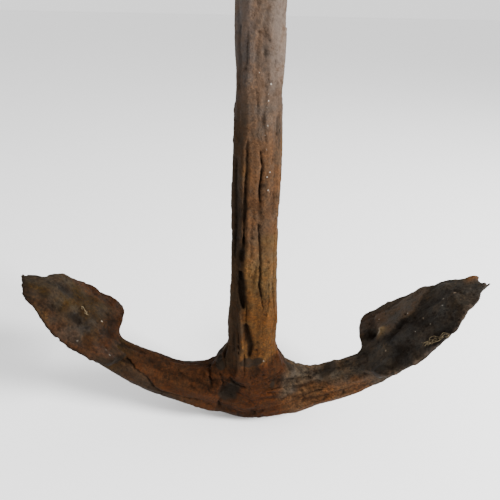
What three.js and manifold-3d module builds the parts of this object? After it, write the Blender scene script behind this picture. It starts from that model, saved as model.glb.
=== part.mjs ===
// Stocked boat anchor of forged iron: a tapering eight-sided shank, two curved arms joined at the crown,
// a spade-shaped palm on each arm, a round iron stock with one bent end, and a shackle on a bolt through
// the head of the shank.
// Millimetres, +Z up. The anchor hangs from its shackle, so the origin is where a chain bears inside the
// top of the bow. X runs along the arms and Y along the stock.
import * as THREE from 'three';
import { mergeVertices } from 'three/addons/utils/BufferGeometryUtils.js';
import Module from 'manifold-3d';

const wasm = await Module();
wasm.setup();

// ---- Driving dimensions ----
const GAP = 0.3; // between two pieces that touch

const SHANK_LENGTH = 800; // from the foot of the crown to the top of the head
const SHANK_ROOT = { height: 24, across: 56, deep: 48 }; // buried in the crown
const SHANK_FOOT = { height: 124, across: 54.5, deep: 47 }; // where it leaves the crown
const SHANK_LOWER = { height: 230, across: 47.5, deep: 42.5 };
const SHANK_MIDDLE = { height: 400, across: 41, deep: 38 };
const SHANK_NECK = { height: 648, across: 38, deep: 36 }; // just below the head
const HEAD_WIDTH = 46; // square head, which takes the stock and the bolt
const HEAD_BOTTOM = 664;
const HEAD_CORNER_CUT = 0.12;
const HEAD_TOP = { drop: 9, narrower: 14, cornerCut: 0.2 }; // the sloping top of the head
const CORNER_CUT = 0.27; // share of a section's smaller side taken off each corner

const ARM_HALF_SPAN = 250;
const ARM_TIP_HEIGHT = 194;
const ARM_ROOT = { tall: 50, deep: 48 }; // section at the crown, measured across the curve
const BILL_ROOT = { tall: 21, deep: 18.5 }; // where the bill starts
const BILL_LENGTH = 20; // the last stretch of an arm, which narrows evenly
const BILL_TIP = { tall: 9, deep: 8 };
const CROWN_FOOT_HALF = 10; // half of the flat foot below the crown
const ARM_CUT = 86; // distance along an arm of the weld between crown and arm
const FILLET_TOP = 123; // where the crown's hollow corners leave the shank
const FILLET_REACH = 70; // and how far along the arms they run

// A palm's outline: how far it stands out from the arm, front and back, by distance along the arm
// from its tip.
const PALM_MIDDLE = 9; // thickness along its middle
const PALM_EDGE = 3.5; // and at its edge
const LEFT_PALM = {
  along: [-4, 8, 20, 28, 42, 60, 82, 102, 117, 125, 130, 138, 150],
  front: [8, 28, 38, 42, 46, 48, 47, 45, 42, 38, 32, 22, 12],
  back: [3, 6, 17, 29, 42, 52, 58, 61, 60, 52, 29, 14, 10],
};
const RIGHT_PALM = {
  along: [-6, 6, 22, 44, 66, 90, 114, 138, 154, 162, 169, 178],
  front: [5, 14, 25, 34, 40, 44, 46, 46, 43, 36, 24, 13],
  back: [3, 14, 31, 46, 56, 64, 68, 69, 64, 44, 19, 10],
};

const BOLT_RADIUS = 8;
const BOLT_HOLE_RADIUS = 8.6;
const BOLT_BELOW_TOP = 24; // bolt's centre below the top of the head
const BOLT_HEAD = { radius: 14, thick: 9 };
const BOLT_TAIL = 25; // length of bolt beyond the shackle's eye
const WASHER = { radius: 15, thick: 3 };
const FORELOCK = { thick: 4, wide: 11, above: 20, below: 24 };

const BOW_RADIUS = 7; // half the bar's thickness
const BOW_CENTRE_RADIUS = 31; // of the round top, and half the distance between the legs
const BOW_INSIDE = 76; // from the bolt's centre to the inside of the top
const EYE_RADIUS = 16;
const EYE_THICKNESS = 14;

const STOCK_RADIUS = 13;
const STOCK_HOLE_RADIUS = 14;
const STOCK_HEIGHT = 700; // of its hole above the foot of the crown
const STRAIGHT_REACH = 382; // from the shank's middle to the centre of the ball on the straight end
const BENT_REACH = 322; // and on the bent end, which is heavier, so that the anchor hangs plumb
const STOCK_BEND_RADIUS = 45;
const STOCK_LEG = 105; // from the stock's axis down to the bent end's ball
const BALL_RADIUS = 24;
const BALL_SOCKET = 14; // how far the bar enters a ball
const SHOULDER = { radius: 21, thick: 12, clear: 1 };
const KEY = { thick: 6, wide: 20, tip: 14, above: 26, below: 36, eye: 10, hole: 4.5, clear: 1 };

const ROUND_SIDES = 24; // sides of a round bar or hole

// ---- Solids ----
const toSolid = (geometry) => {
  const bare = geometry.clone();
  bare.deleteAttribute('normal');
  bare.deleteAttribute('uv');
  const merged = mergeVertices(bare, 1e-4);
  return new wasm.Manifold(
    new wasm.Mesh({
      numProp: 3,
      vertProperties: new Float32Array(merged.attributes.position.array),
      triVerts: new Uint32Array(merged.index.array),
    }),
  );
};

const toGeometry = (solid) => {
  const mesh = solid.getMesh();
  const geometry = new THREE.BufferGeometry();
  geometry.setAttribute('position', new THREE.BufferAttribute(new Float32Array(mesh.vertProperties), 3));
  geometry.setIndex(new THREE.BufferAttribute(new Uint32Array(mesh.triVerts), 1));
  geometry.computeVertexNormals();
  return geometry;
};

// A closed solid through rings of corners, with a flat end on the first and last ring.
// Each ring turns anticlockwise as seen from the far end, looking back.
const loft = (rings) => {
  const corners = rings[0].length;
  const index = [];
  for (let ring = 0; ring + 1 < rings.length; ring++) {
    for (let corner = 0; corner < corners; corner++) {
      const next = (corner + 1) % corners;
      const low = ring * corners;
      const high = low + corners;
      index.push(low + corner, low + next, high + next);
      index.push(low + corner, high + next, high + corner);
    }
  }
  const last = (rings.length - 1) * corners;
  for (let corner = 1; corner + 1 < corners; corner++) {
    index.push(0, corner + 1, corner);
    index.push(last, last + corner, last + corner + 1);
  }
  const geometry = new THREE.BufferGeometry();
  const places = rings.flat().flatMap((p) => [p.x, p.y, p.z]);
  geometry.setAttribute('position', new THREE.Float32BufferAttribute(places, 3));
  geometry.setIndex(index);
  geometry.computeVertexNormals();
  return geometry;
};

// Corners of an eight-sided section, anticlockwise, as [a, b] pairs.
const octagon = (wide, deep, cut = CORNER_CUT) => {
  const c = Math.min(wide, deep) * cut;
  const [a, b] = [wide / 2, deep / 2];
  return [
    [a, -b + c], [a, b - c], [a - c, b], [-a + c, b],
    [-a, b - c], [-a, -b + c], [-a + c, -b], [a - c, -b],
  ];
};

const circle = (radius, sides = ROUND_SIDES) =>
  Array.from({ length: sides }, (_, i) => {
    const turn = ((i + 0.5) * 2 * Math.PI) / sides;
    return [radius * Math.cos(turn), radius * Math.sin(turn)];
  });

// Rings of one section in planes square to a route in the YZ plane.
const sweepInYZ = (stations, section) =>
  loft(
    stations.map(({ y, z, turn }) =>
      section.map(([a, b]) => new THREE.Vector3(a, y + b * Math.cos(turn), z + b * Math.sin(turn))),
    ),
  );

const cylinder = (radius, length, axis, sides = ROUND_SIDES) => {
  const geometry = new THREE.CylinderGeometry(radius, radius, length, sides);
  if (axis === 'x') geometry.rotateZ(Math.PI / 2);
  if (axis === 'z') geometry.rotateX(Math.PI / 2);
  return geometry;
};

const boxBetween = (low, high) => {
  const geometry = new THREE.BoxGeometry(high[0] - low[0], high[1] - low[1], high[2] - low[2]);
  return geometry.translate((low[0] + high[0]) / 2, (low[1] + high[1]) / 2, (low[2] + high[2]) / 2);
};

const mix = (from, to, share) => from + (to - from) * share;

// ---- Materials ----
const iron = (color, roughness, metalness) =>
  new THREE.MeshStandardMaterial({ color, roughness, metalness });
const RUSTED = iron(0x6b3d1d, 0.92, 0.1);
const SCALED = iron(0x3a2b22, 0.9, 0.15);
const SHACKLE_IRON = iron(0x57351f, 0.9, 0.15);
const STOCK_IRON = iron(0x5f3a20, 0.9, 0.12);

const node = (name, geometry, material) => {
  const mesh = new THREE.Mesh(geometry, material);
  mesh.name = name;
  return mesh;
};

// ---- Shank ----
const shankRing = ({ height, across, deep = across, cut }) =>
  octagon(across, deep, cut).map(([x, y]) => new THREE.Vector3(x, y, height));

const makeShank = () => {
  const head = { across: HEAD_WIDTH, cut: HEAD_CORNER_CUT };
  const top = { across: HEAD_WIDTH - HEAD_TOP.narrower, cut: HEAD_TOP.cornerCut };
  const sections = [
    SHANK_ROOT,
    SHANK_FOOT,
    SHANK_LOWER,
    SHANK_MIDDLE,
    SHANK_NECK,
    { height: HEAD_BOTTOM, ...head },
    { height: SHANK_LENGTH - HEAD_TOP.drop, ...head },
    { height: SHANK_LENGTH, ...top },
  ];
  return loft(sections.map(shankRing));
};

// ---- Arms ----
// The outer edge of the right arm, from the flat foot of the crown to the tip, as [x, height].
const ARM_EDGE = new THREE.SplineCurve(
  [
    [CROWN_FOOT_HALF, 0],
    [62, 17],
    [126, 41],
    [187, 86],
    [229, 140],
    [ARM_HALF_SPAN, ARM_TIP_HEIGHT],
  ].map(([x, z]) => new THREE.Vector2(x, z)),
);
const ARM_LENGTH = ARM_EDGE.getLength();
const ARM_STEPS = 22;
const ARM_STATIONS = Array.from({ length: ARM_STEPS }, (_, i) => (i / ARM_STEPS) * ARM_LENGTH);
ARM_STATIONS.push(ARM_LENGTH - BILL_LENGTH, ARM_LENGTH);
ARM_STATIONS.sort((a, b) => a - b);

// The arm's frame at a distance along its edge: the edge point, the directions along the arm and in
// towards the shackle, and the section. Past the tip it runs straight on.
const armAt = (distance) => {
  const share = Math.min(1, Math.max(0, distance / ARM_LENGTH));
  const run = share === 0 ? new THREE.Vector2(1, 0) : ARM_EDGE.getTangentAt(share);
  const edge = ARM_EDGE.getPointAt(share).addScaledVector(run, distance - share * ARM_LENGTH);
  const along = distance / (ARM_LENGTH - BILL_LENGTH);
  const bill = Math.min(1, (distance + BILL_LENGTH - ARM_LENGTH) / BILL_LENGTH);
  const size = (side, power) => {
    if (bill > 0) return mix(BILL_ROOT[side], BILL_TIP[side], bill);
    return mix(ARM_ROOT[side], BILL_ROOT[side], along ** power);
  };
  return {
    edge,
    run,
    inward: new THREE.Vector2(-run.y, run.x),
    tall: size('tall', 1.7),
    deep: size('deep', 1.5),
  };
};

const armRing = (distance, side) => {
  const { edge, inward, tall, deep } = armAt(distance);
  return octagon(tall, deep).map(([a, b]) => {
    const x = edge.x + inward.x * (tall / 2 + a);
    const z = edge.y + inward.y * (tall / 2 + a);
    return new THREE.Vector3(side * x, -b, z);
  });
};

const makeArms = () => {
  const right = ARM_STATIONS.map((distance) => armRing(distance, 1));
  const left = ARM_STATIONS.map((distance) => armRing(distance, -1));
  return loft([...left.reverse(), ...right]);
};

// ---- Crown ----
const makeFillets = () => {
  const landing = armAt(FILLET_REACH);
  const reach = landing.edge.x + landing.inward.x * landing.tall;
  const height = landing.edge.y + landing.inward.y * landing.tall;
  const half = SHANK_ROOT.across / 2 - 0.5;
  const corner = [half + 5, ARM_ROOT.tall + 18];
  const shape = new THREE.Shape();
  shape.moveTo(-reach, height - 40);
  shape.lineTo(reach, height - 40);
  shape.lineTo(reach, height - 0.5);
  shape.quadraticCurveTo(...corner, half, FILLET_TOP);
  shape.lineTo(-half, FILLET_TOP);
  shape.quadraticCurveTo(-corner[0], corner[1], -reach, height - 0.5);
  const bevel = ARM_ROOT.deep * CORNER_CUT;
  const depth = ARM_ROOT.deep - 2 * bevel - 1;
  const geometry = new THREE.ExtrudeGeometry(shape, {
    depth,
    bevelEnabled: true,
    bevelThickness: bevel,
    bevelSize: bevel,
    bevelOffset: -bevel,
    bevelSegments: 1,
    curveSegments: 8,
  });
  return geometry.rotateX(Math.PI / 2).translate(0, depth / 2, 0);
};

// Everything beyond the weld plane of one arm. A positive clearance starts it further out.
const beyondArmWeld = (side, clearance) => {
  const { edge, run } = armAt(ARM_CUT);
  const size = 600;
  const geometry = new THREE.BoxGeometry(size, size, size).translate(size / 2 + clearance, 0, 0);
  geometry.rotateY(-Math.atan2(run.y, run.x)).translate(edge.x, 0, edge.y);
  return side > 0 ? geometry : geometry.rotateZ(Math.PI);
};

const aboveShankWeld = (clearance) =>
  boxBetween([-200, -200, SHANK_FOOT.height + clearance], [200, 200, SHANK_LENGTH + 50]);

const forging = () => {
  const shank = toSolid(makeShank());
  const arms = toSolid(makeArms());
  const stockHole = toSolid(cylinder(STOCK_HOLE_RADIUS, 120, 'y', 32)).translate([0, 0, STOCK_HEIGHT]);
  const boltHeight = SHANK_LENGTH - BOLT_BELOW_TOP;
  const boltHole = toSolid(cylinder(BOLT_HOLE_RADIUS, 120, 'x')).translate([0, 0, boltHeight]);
  const half = GAP / 2;
  return {
    shank: shank.intersect(toSolid(aboveShankWeld(half))).subtract(stockHole).subtract(boltHole),
    left_arm: arms.intersect(toSolid(beyondArmWeld(-1, half))),
    right_arm: arms.intersect(toSolid(beyondArmWeld(1, half))),
    crown: arms
      .add(shank)
      .add(toSolid(makeFillets()))
      .subtract(toSolid(aboveShankWeld(-half)))
      .subtract(toSolid(beyondArmWeld(-1, -half)))
      .subtract(toSolid(beyondArmWeld(1, -half))),
  };
};

// ---- Palms ----
const between = (places, values, place) => {
  const next = Math.max(1, places.findIndex((p) => p >= place));
  const share = (place - places[next - 1]) / (places[next] - places[next - 1]);
  return mix(values[next - 1], values[next], share);
};

// A palm lies along the inner face of its arm. Each ring crosses it from front to back: flat below,
// crowned above.
const makePalm = (outline, side) => {
  const length = outline.along.at(-1);
  const across = [-1, -0.5, 0, 0.5, 1];
  const places = [...outline.along, ...ARM_STATIONS.map((distance) => ARM_LENGTH - distance)];
  const rings = [];
  for (const fromTip of places.sort((a, b) => a - b)) {
    if (fromTip > length || fromTip - rings.at(-1)?.fromTip < 1) continue;
    const { edge, inward, tall } = armAt(ARM_LENGTH - fromTip);
    const front = between(outline.along, outline.front, fromTip);
    const back = between(outline.along, outline.back, fromTip);
    const point = (share, rise) => {
      const y = share < 0 ? share * front : share * back;
      const x = edge.x + inward.x * (tall + rise);
      const z = edge.y + inward.y * (tall + rise);
      return new THREE.Vector3(side * x, y, z);
    };
    const thickness = (share) => mix(PALM_MIDDLE, PALM_EDGE, Math.abs(share) ** 1.5);
    const under = across.map((share) => point(share, GAP));
    const over = across.map((share) => point(share, GAP + thickness(share)));
    rings.push({ fromTip, corners: [...under, ...over.reverse()] });
  }
  const corners = rings.map((ring) => ring.corners);
  return loft(side > 0 ? corners.reverse() : corners);
};

// ---- Shackle, about the bolt's centre ----
const makeBow = () => {
  const straight = BOW_INSIDE + BOW_RADIUS - BOW_CENTRE_RADIUS;
  const arc = 14;
  const stations = [{ x: -BOW_CENTRE_RADIUS, z: 4, turn: Math.PI }];
  for (let i = 0; i <= arc; i++) {
    const turn = Math.PI * (1 - i / arc);
    const x = BOW_CENTRE_RADIUS * Math.cos(turn);
    stations.push({ x, z: straight + BOW_CENTRE_RADIUS * Math.sin(turn), turn });
  }
  stations.push({ x: BOW_CENTRE_RADIUS, z: 4, turn: 0 });
  const bar = loft(
    stations.map(({ x, z, turn }) =>
      circle(BOW_RADIUS, 16).map(
        ([a, b]) => new THREE.Vector3(x + b * Math.cos(turn), a, z + b * Math.sin(turn)),
      ),
    ),
  );
  let bow = toSolid(bar);
  for (const side of [-1, 1]) {
    const eye = cylinder(EYE_RADIUS, EYE_THICKNESS, 'x').translate(side * BOW_CENTRE_RADIUS, 0, 0);
    bow = bow.add(toSolid(eye));
  }
  return bow.subtract(toSolid(cylinder(BOLT_HOLE_RADIUS, 120, 'x')));
};

const EYE_FACE = BOW_CENTRE_RADIUS + EYE_THICKNESS / 2; // outer face of an eye
const FORELOCK_X = EYE_FACE + WASHER.thick + 3 * GAP + FORELOCK.wide / 2;

const makeBolt = () => {
  const profile = [
    [0, -EYE_FACE - 1 - BOLT_HEAD.thick],
    [BOLT_HEAD.radius - 2, -EYE_FACE - 1 - BOLT_HEAD.thick],
    [BOLT_HEAD.radius, -EYE_FACE + 1 - BOLT_HEAD.thick],
    [BOLT_HEAD.radius, -EYE_FACE - 1],
    [BOLT_RADIUS, -EYE_FACE - 1],
    [BOLT_RADIUS, EYE_FACE + BOLT_TAIL - 2],
    [BOLT_RADIUS - 2, EYE_FACE + BOLT_TAIL],
    [0, EYE_FACE + BOLT_TAIL],
  ].map(([r, at]) => new THREE.Vector2(r, at));
  const bolt = toSolid(new THREE.LatheGeometry(profile, ROUND_SIDES).rotateZ(-Math.PI / 2));
  const slot = boxBetween(
    [FORELOCK_X - FORELOCK.wide / 2 - GAP, -FORELOCK.thick / 2 - GAP, -40],
    [FORELOCK_X + FORELOCK.wide / 2 + GAP, FORELOCK.thick / 2 + GAP, 40],
  );
  return bolt.subtract(toSolid(slot));
};

const makeWasher = () => {
  const profile = [
    [BOLT_HOLE_RADIUS, 0],
    [WASHER.radius, 0],
    [WASHER.radius, WASHER.thick],
    [BOLT_HOLE_RADIUS, WASHER.thick],
    [BOLT_HOLE_RADIUS, 0],
  ].map(([r, at]) => new THREE.Vector2(r, at));
  const geometry = new THREE.LatheGeometry(profile, ROUND_SIDES);
  return geometry.rotateZ(-Math.PI / 2).translate(EYE_FACE + GAP, 0, 0);
};

// A flat wedge, wider at the top, whose head is bent over so that it can't drop through.
const makeForelock = () => {
  const [half, tip] = [FORELOCK.wide / 2, FORELOCK.wide / 2 - 2];
  const shape = new THREE.Shape();
  shape.moveTo(-tip, -FORELOCK.below);
  shape.lineTo(tip, -FORELOCK.below);
  shape.lineTo(half, BOLT_RADIUS + 1);
  shape.lineTo(half + 5, BOLT_RADIUS + 1);
  shape.lineTo(half + 5, BOLT_RADIUS + 6);
  shape.lineTo(half, FORELOCK.above);
  shape.lineTo(-half, FORELOCK.above);
  const geometry = new THREE.ExtrudeGeometry(shape, { depth: FORELOCK.thick, bevelEnabled: false });
  return geometry.rotateX(Math.PI / 2).translate(FORELOCK_X, FORELOCK.thick / 2, 0);
};

// ---- Stock, about the centre of its hole: the straight end towards +Y, the bent end towards -Y ----
const KEY_Y = -(HEAD_WIDTH / 2 + KEY.clear + KEY.wide / 2);

const makeStockBar = () => {
  const bendY = STOCK_BEND_RADIUS - BENT_REACH;
  const stations = [{ y: STRAIGHT_REACH - BALL_RADIUS + BALL_SOCKET, z: 0, turn: Math.PI / 2 }];
  const steps = 8;
  for (let i = 0; i <= steps; i++) {
    const turn = (Math.PI / 2) * (1 + i / steps);
    const y = bendY + STOCK_BEND_RADIUS * Math.cos(turn);
    const z = STOCK_BEND_RADIUS * (Math.sin(turn) - 1);
    stations.push({ y, z, turn });
  }
  stations.push({ y: -BENT_REACH, z: -STOCK_LEG + BALL_RADIUS - BALL_SOCKET, turn: Math.PI });
  const slot = boxBetween(
    [-KEY.thick / 2 - GAP, KEY_Y - KEY.wide / 2 - GAP, -40],
    [KEY.thick / 2 + GAP, KEY_Y + KEY.wide / 2 + GAP, 40],
  );
  return toSolid(sweepInYZ(stations, circle(STOCK_RADIUS))).subtract(toSolid(slot));
};

const makeBall = (socketAxis, socketSide) => {
  const ball = new THREE.SphereGeometry(BALL_RADIUS, 20, 14);
  const depth = BALL_SOCKET + GAP;
  const socket = cylinder(STOCK_RADIUS + GAP, 40, socketAxis, 28);
  const shift = socketSide * (BALL_RADIUS - depth + 20);
  socket.translate(0, socketAxis === 'y' ? shift : 0, socketAxis === 'z' ? shift : 0);
  return toSolid(ball).subtract(toSolid(socket));
};

const makeShoulder = () => {
  const inner = STOCK_RADIUS + GAP;
  const profile = [
    [inner, 0],
    [SHOULDER.radius, 0],
    [SHOULDER.radius, SHOULDER.thick - 3],
    [SHOULDER.radius - 3, SHOULDER.thick],
    [inner, SHOULDER.thick],
    [inner, 0],
  ].map(([r, at]) => new THREE.Vector2(r, at));
  const geometry = new THREE.LatheGeometry(profile, 28);
  return geometry.translate(0, HEAD_WIDTH / 2 + SHOULDER.clear, 0);
};

// The key narrows downwards and ends in a round eye above.
const makeKey = () => {
  const [half, tip] = [KEY.wide / 2, KEY.tip / 2];
  const eyeHeight = KEY.above + KEY.eye / 2;
  const shape = new THREE.Shape();
  shape.moveTo(-tip, -KEY.below);
  shape.lineTo(tip, -KEY.below);
  shape.lineTo(half, 0);
  shape.lineTo(half, KEY.above - 6);
  shape.absarc(0, eyeHeight, KEY.eye, -0.6, Math.PI + 0.6, false);
  shape.lineTo(-half, KEY.above - 6);
  shape.lineTo(-half, 0);
  const hole = new THREE.Path();
  hole.absarc(0, eyeHeight, KEY.hole, 0, Math.PI * 2, true);
  shape.holes.push(hole);
  const settings = { depth: KEY.thick, bevelEnabled: false, curveSegments: 7 };
  const geometry = new THREE.ExtrudeGeometry(shape, settings);
  geometry.rotateX(Math.PI / 2).rotateZ(Math.PI / 2);
  return geometry.translate(-KEY.thick / 2, KEY_Y, 0);
};

// ---- Assembly ----
const object = new THREE.Group();
const boltZ = -BOW_INSIDE;

const shackle = new THREE.Group();
shackle.position.z = boltZ;
shackle.add(
  node('shackle_bow', toGeometry(makeBow()), SHACKLE_IRON),
  node('shackle_bolt', toGeometry(makeBolt()), SHACKLE_IRON),
  node('bolt_washer', makeWasher(), SHACKLE_IRON),
  node('bolt_forelock', makeForelock(), SHACKLE_IRON),
);

const anchor = new THREE.Group();
anchor.position.z = boltZ + BOLT_BELOW_TOP - SHANK_LENGTH;
const forged = forging();
anchor.add(
  node('shank', toGeometry(forged.shank), RUSTED),
  node('crown', toGeometry(forged.crown), RUSTED),
  node('left_arm', toGeometry(forged.left_arm), RUSTED),
  node('right_arm', toGeometry(forged.right_arm), RUSTED),
  node('left_palm', makePalm(LEFT_PALM, -1), SCALED),
  node('right_palm', makePalm(RIGHT_PALM, 1), SCALED),
);

const stock = new THREE.Group();
stock.position.z = STOCK_HEIGHT;
const straightBall = node('stock_ball_straight_end', toGeometry(makeBall('y', -1)), STOCK_IRON);
straightBall.position.set(0, STRAIGHT_REACH, 0);
const bentBall = node('stock_ball_bent_end', toGeometry(makeBall('z', 1)), STOCK_IRON);
bentBall.position.set(0, -BENT_REACH, -STOCK_LEG);
stock.add(
  node('stock_bar', toGeometry(makeStockBar()), STOCK_IRON),
  node('stock_shoulder', makeShoulder(), STOCK_IRON),
  node('stock_key', makeKey(), STOCK_IRON),
  straightBall,
  bentBall,
);
anchor.add(stock);
object.add(shackle, anchor);

export default object;
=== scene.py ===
"""Looks for the stocked anchor: forged, rusted iron, built as volumes and meshed piece by piece."""
import math

import bmesh
import bpy
import numpy as np
import openvdb
from mathutils import Matrix, Vector


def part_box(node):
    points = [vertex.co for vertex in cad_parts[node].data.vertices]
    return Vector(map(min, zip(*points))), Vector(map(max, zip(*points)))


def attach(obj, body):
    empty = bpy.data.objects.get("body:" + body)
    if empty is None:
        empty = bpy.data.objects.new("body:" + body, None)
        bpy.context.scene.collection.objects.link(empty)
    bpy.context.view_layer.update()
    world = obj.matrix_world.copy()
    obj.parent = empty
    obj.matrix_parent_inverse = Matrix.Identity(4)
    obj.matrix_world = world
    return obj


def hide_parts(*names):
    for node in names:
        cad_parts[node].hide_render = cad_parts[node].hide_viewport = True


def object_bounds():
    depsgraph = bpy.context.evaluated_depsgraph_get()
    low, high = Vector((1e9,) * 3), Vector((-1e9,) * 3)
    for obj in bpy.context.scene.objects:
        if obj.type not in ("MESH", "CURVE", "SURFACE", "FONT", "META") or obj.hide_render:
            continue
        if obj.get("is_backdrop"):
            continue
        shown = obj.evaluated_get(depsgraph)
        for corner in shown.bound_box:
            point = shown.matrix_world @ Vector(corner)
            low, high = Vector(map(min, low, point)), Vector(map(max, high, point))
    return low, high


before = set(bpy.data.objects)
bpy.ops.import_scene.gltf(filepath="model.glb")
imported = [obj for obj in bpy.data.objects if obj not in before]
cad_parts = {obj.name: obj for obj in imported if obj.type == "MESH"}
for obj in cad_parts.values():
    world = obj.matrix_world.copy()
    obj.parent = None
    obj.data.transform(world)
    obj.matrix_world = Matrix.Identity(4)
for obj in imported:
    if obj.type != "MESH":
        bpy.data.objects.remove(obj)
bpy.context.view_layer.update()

MM = 0.001
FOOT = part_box("crown")[0].z / MM  # height of the crown's foot in the frame, in mm
# Shapes below are in millimetres from the crown's foot: X along the arms, Y along the stock, Z up the shank.

# ---------------------------------------------------------------- noise
CHUNK = 120_000  # points worked out at once
NOISE_GAIN = 1.75  # brings the noise's range to about -1 to 1
SEED_STEP = 17.31  # how far apart the noises of two seeds are taken
rng = np.random.RandomState(11)
PERM = rng.permutation(256).astype(np.int32)
GRADIENT = rng.normal(size=(256, 3))
GRADIENT = (NOISE_GAIN * GRADIENT / np.linalg.norm(GRADIENT, axis=1, keepdims=True)).astype(np.float32)


def noise(points, size, seed=0):
    """Gradient noise, about -1 to 1, with features of the given size (one number, or one for each axis)."""
    out = np.empty(len(points), np.float32)
    for start in range(0, len(points), CHUNK):
        p = points[start : start + CHUNK] / np.asarray(size, np.float32) + np.float32(seed * SEED_STEP)
        cell = np.floor(p)
        f = (p - cell).astype(np.float32)
        cell = cell.astype(np.int32)
        fade = f * f * f * (f * (f * 6 - 15) + 10)
        total = np.zeros(len(p), np.float32)
        for dx in (0, 1):
            wx = fade[:, 0] if dx else 1 - fade[:, 0]
            hx = PERM[(cell[:, 0] + dx) & 255]
            for dy in (0, 1):
                wxy = wx * (fade[:, 1] if dy else 1 - fade[:, 1])
                hy = PERM[(hx + cell[:, 1] + dy) & 255]
                for dz in (0, 1):
                    w = wxy * (fade[:, 2] if dz else 1 - fade[:, 2])
                    g = GRADIENT[PERM[(hy + cell[:, 2] + dz) & 255]]
                    dot = g[:, 0] * (f[:, 0] - dx) + g[:, 1] * (f[:, 1] - dy) + g[:, 2] * (f[:, 2] - dz)
                    total += w * dot
        out[start : start + CHUNK] = total
    return out


def stack(*axes):
    return np.stack(axes, axis=-1).astype(np.float32)


def ease(low, high, value):
    t = np.clip((value - low) / (high - low), 0, 1)
    return t * t * (3 - 2 * t)


def mix(a, b, share):
    return a + (b - a) * share


def smooth_min(a, b, k):
    h = np.maximum(k - np.abs(a - b), 0) / k
    return np.minimum(a, b) - h * h * k / 4


def smooth_max(a, b, k):
    return -smooth_min(-a, -b, k)


# ---------------------------------------------------------------- meshing
BAND = 3.0  # half width in cells of the layer of a field that is kept


def mesh_field(blocks, voxel):
    """Vertices and quads where a field is 0. blocks are (first cell, values), all on one grid."""
    far = BAND * voxel
    grid = openvdb.FloatGrid(far)
    for first, values in blocks:
        grid.copyFromArray(np.clip(values, -far, far).astype(np.float32), ijk=first, tolerance=0.0)
    grid.transform = openvdb.createLinearTransform(voxelSize=voxel)
    points, quads = grid.convertToQuads(isovalue=0.0)
    return largest_part(points.astype(np.float64), quads.astype(np.int64))


def largest_part(points, quads):
    """Keeps the largest connected surface and turns its faces outwards."""
    label = np.arange(len(points))
    a = quads.ravel()
    b = np.roll(quads, -1, axis=1).ravel()
    while True:
        low = np.minimum(label[a], label[b])
        new = label.copy()
        np.minimum.at(new, a, low)
        np.minimum.at(new, b, low)
        new = new[new]
        if np.array_equal(new, label):
            break
        label = new
    names, counts = np.unique(label, return_counts=True)
    keep = label == names[counts.argmax()]
    index = np.cumsum(keep) - 1
    quads = index[quads[keep[quads].all(axis=1)]]
    points = points[keep]
    p = points[quads]
    volume = np.einsum("ij,ij->i", p[:, 0], np.cross(p[:, 1], p[:, 2])).sum()
    volume += np.einsum("ij,ij->i", p[:, 0], np.cross(p[:, 2], p[:, 3])).sum()
    if volume < 0:
        quads = quads[:, ::-1]
    return points, quads


def vertex_normals(points, quads):
    face = np.cross(points[quads[:, 2]] - points[quads[:, 0]], points[quads[:, 3]] - points[quads[:, 1]])
    normal = np.zeros_like(points)
    for corner in range(4):
        np.add.at(normal, quads[:, corner], face)
    return normal / np.maximum(np.linalg.norm(normal, axis=1, keepdims=True), 1e-9)


def roughen(points, quads, *grains):
    """Moves vertices along their normals by fine noise. Each grain is (height, size, seed)."""
    p = points.astype(np.float32)
    rise = sum(height * noise(p, size, seed) for height, size, seed in grains)
    return points + vertex_normals(points, quads) * rise[:, None]


def axes_of(low, high, voxel):
    """The first cell, and the cell centres along each axis, on the grid that a voxel size's blocks share."""
    first = [math.floor(a / voxel) for a in low]
    last = [math.ceil(b / voxel) for b in high]
    lines = [np.arange(i, j + 1, dtype=np.float32) * np.float32(voxel) for i, j in zip(first, last)]
    return first, lines


REACH = 6.0  # relief is worked out only this near the surface


def fill(base, relief, low, high, voxel):
    """A block of the field base minus relief."""
    first, (x, y, z) = axes_of(low, high, voxel)
    field = base(x[:, None, None], y[None, :, None], z[None, None, :]).astype(np.float32)
    field = np.broadcast_to(field, (len(x), len(y), len(z))).copy()
    i, j, k = np.nonzero(np.abs(field) < REACH)
    field[i, j, k] -= relief(stack(x[i], y[j], z[k]))
    return first, field


def link(obj):
    bpy.context.scene.collection.objects.link(obj)
    return obj


def build_object(name, points, quads, caps=()):
    """A mesh object from points in mm above the crown's foot, cut off flat at the planes in caps."""
    mesh = bpy.data.meshes.new(name)
    mesh.vertices.add(len(points))
    mesh.vertices.foreach_set("co", ((points + [0, 0, FOOT]) * MM).astype(np.float32).ravel())
    mesh.loops.add(quads.size)
    mesh.loops.foreach_set("vertex_index", quads.astype(np.int32).ravel())
    mesh.polygons.add(len(quads))
    mesh.polygons.foreach_set("loop_start", np.arange(0, quads.size, 4, dtype=np.int32))
    mesh.update(calc_edges=True)
    mesh.polygons.foreach_set("use_smooth", np.ones(len(quads), bool))
    obj = link(bpy.data.objects.new(name, mesh))
    for plane_point, plane_normal in caps:
        cut_and_cap(obj, plane_point, plane_normal)
    return obj


def cut_and_cap(obj, point, normal):
    """Keeps the side of a plane that its normal points away from, and closes the cut with a flat face."""
    bm = bmesh.new()
    bm.from_mesh(obj.data)
    bmesh.ops.bisect_plane(
        bm,
        geom=bm.verts[:] + bm.edges[:] + bm.faces[:],
        plane_co=(Vector(point) + Vector((0, 0, FOOT))) * MM,
        plane_no=normal,
        clear_outer=True,
    )
    rim = [e for e in bm.edges if e.is_boundary]
    made = bmesh.ops.holes_fill(bm, edges=rim, sides=0)["faces"]
    for face in made:
        face.smooth = False
    for edge in rim:
        edge.smooth = False
    bmesh.ops.triangulate(bm, faces=made)
    bm.to_mesh(obj.data)
    bm.free()


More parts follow.
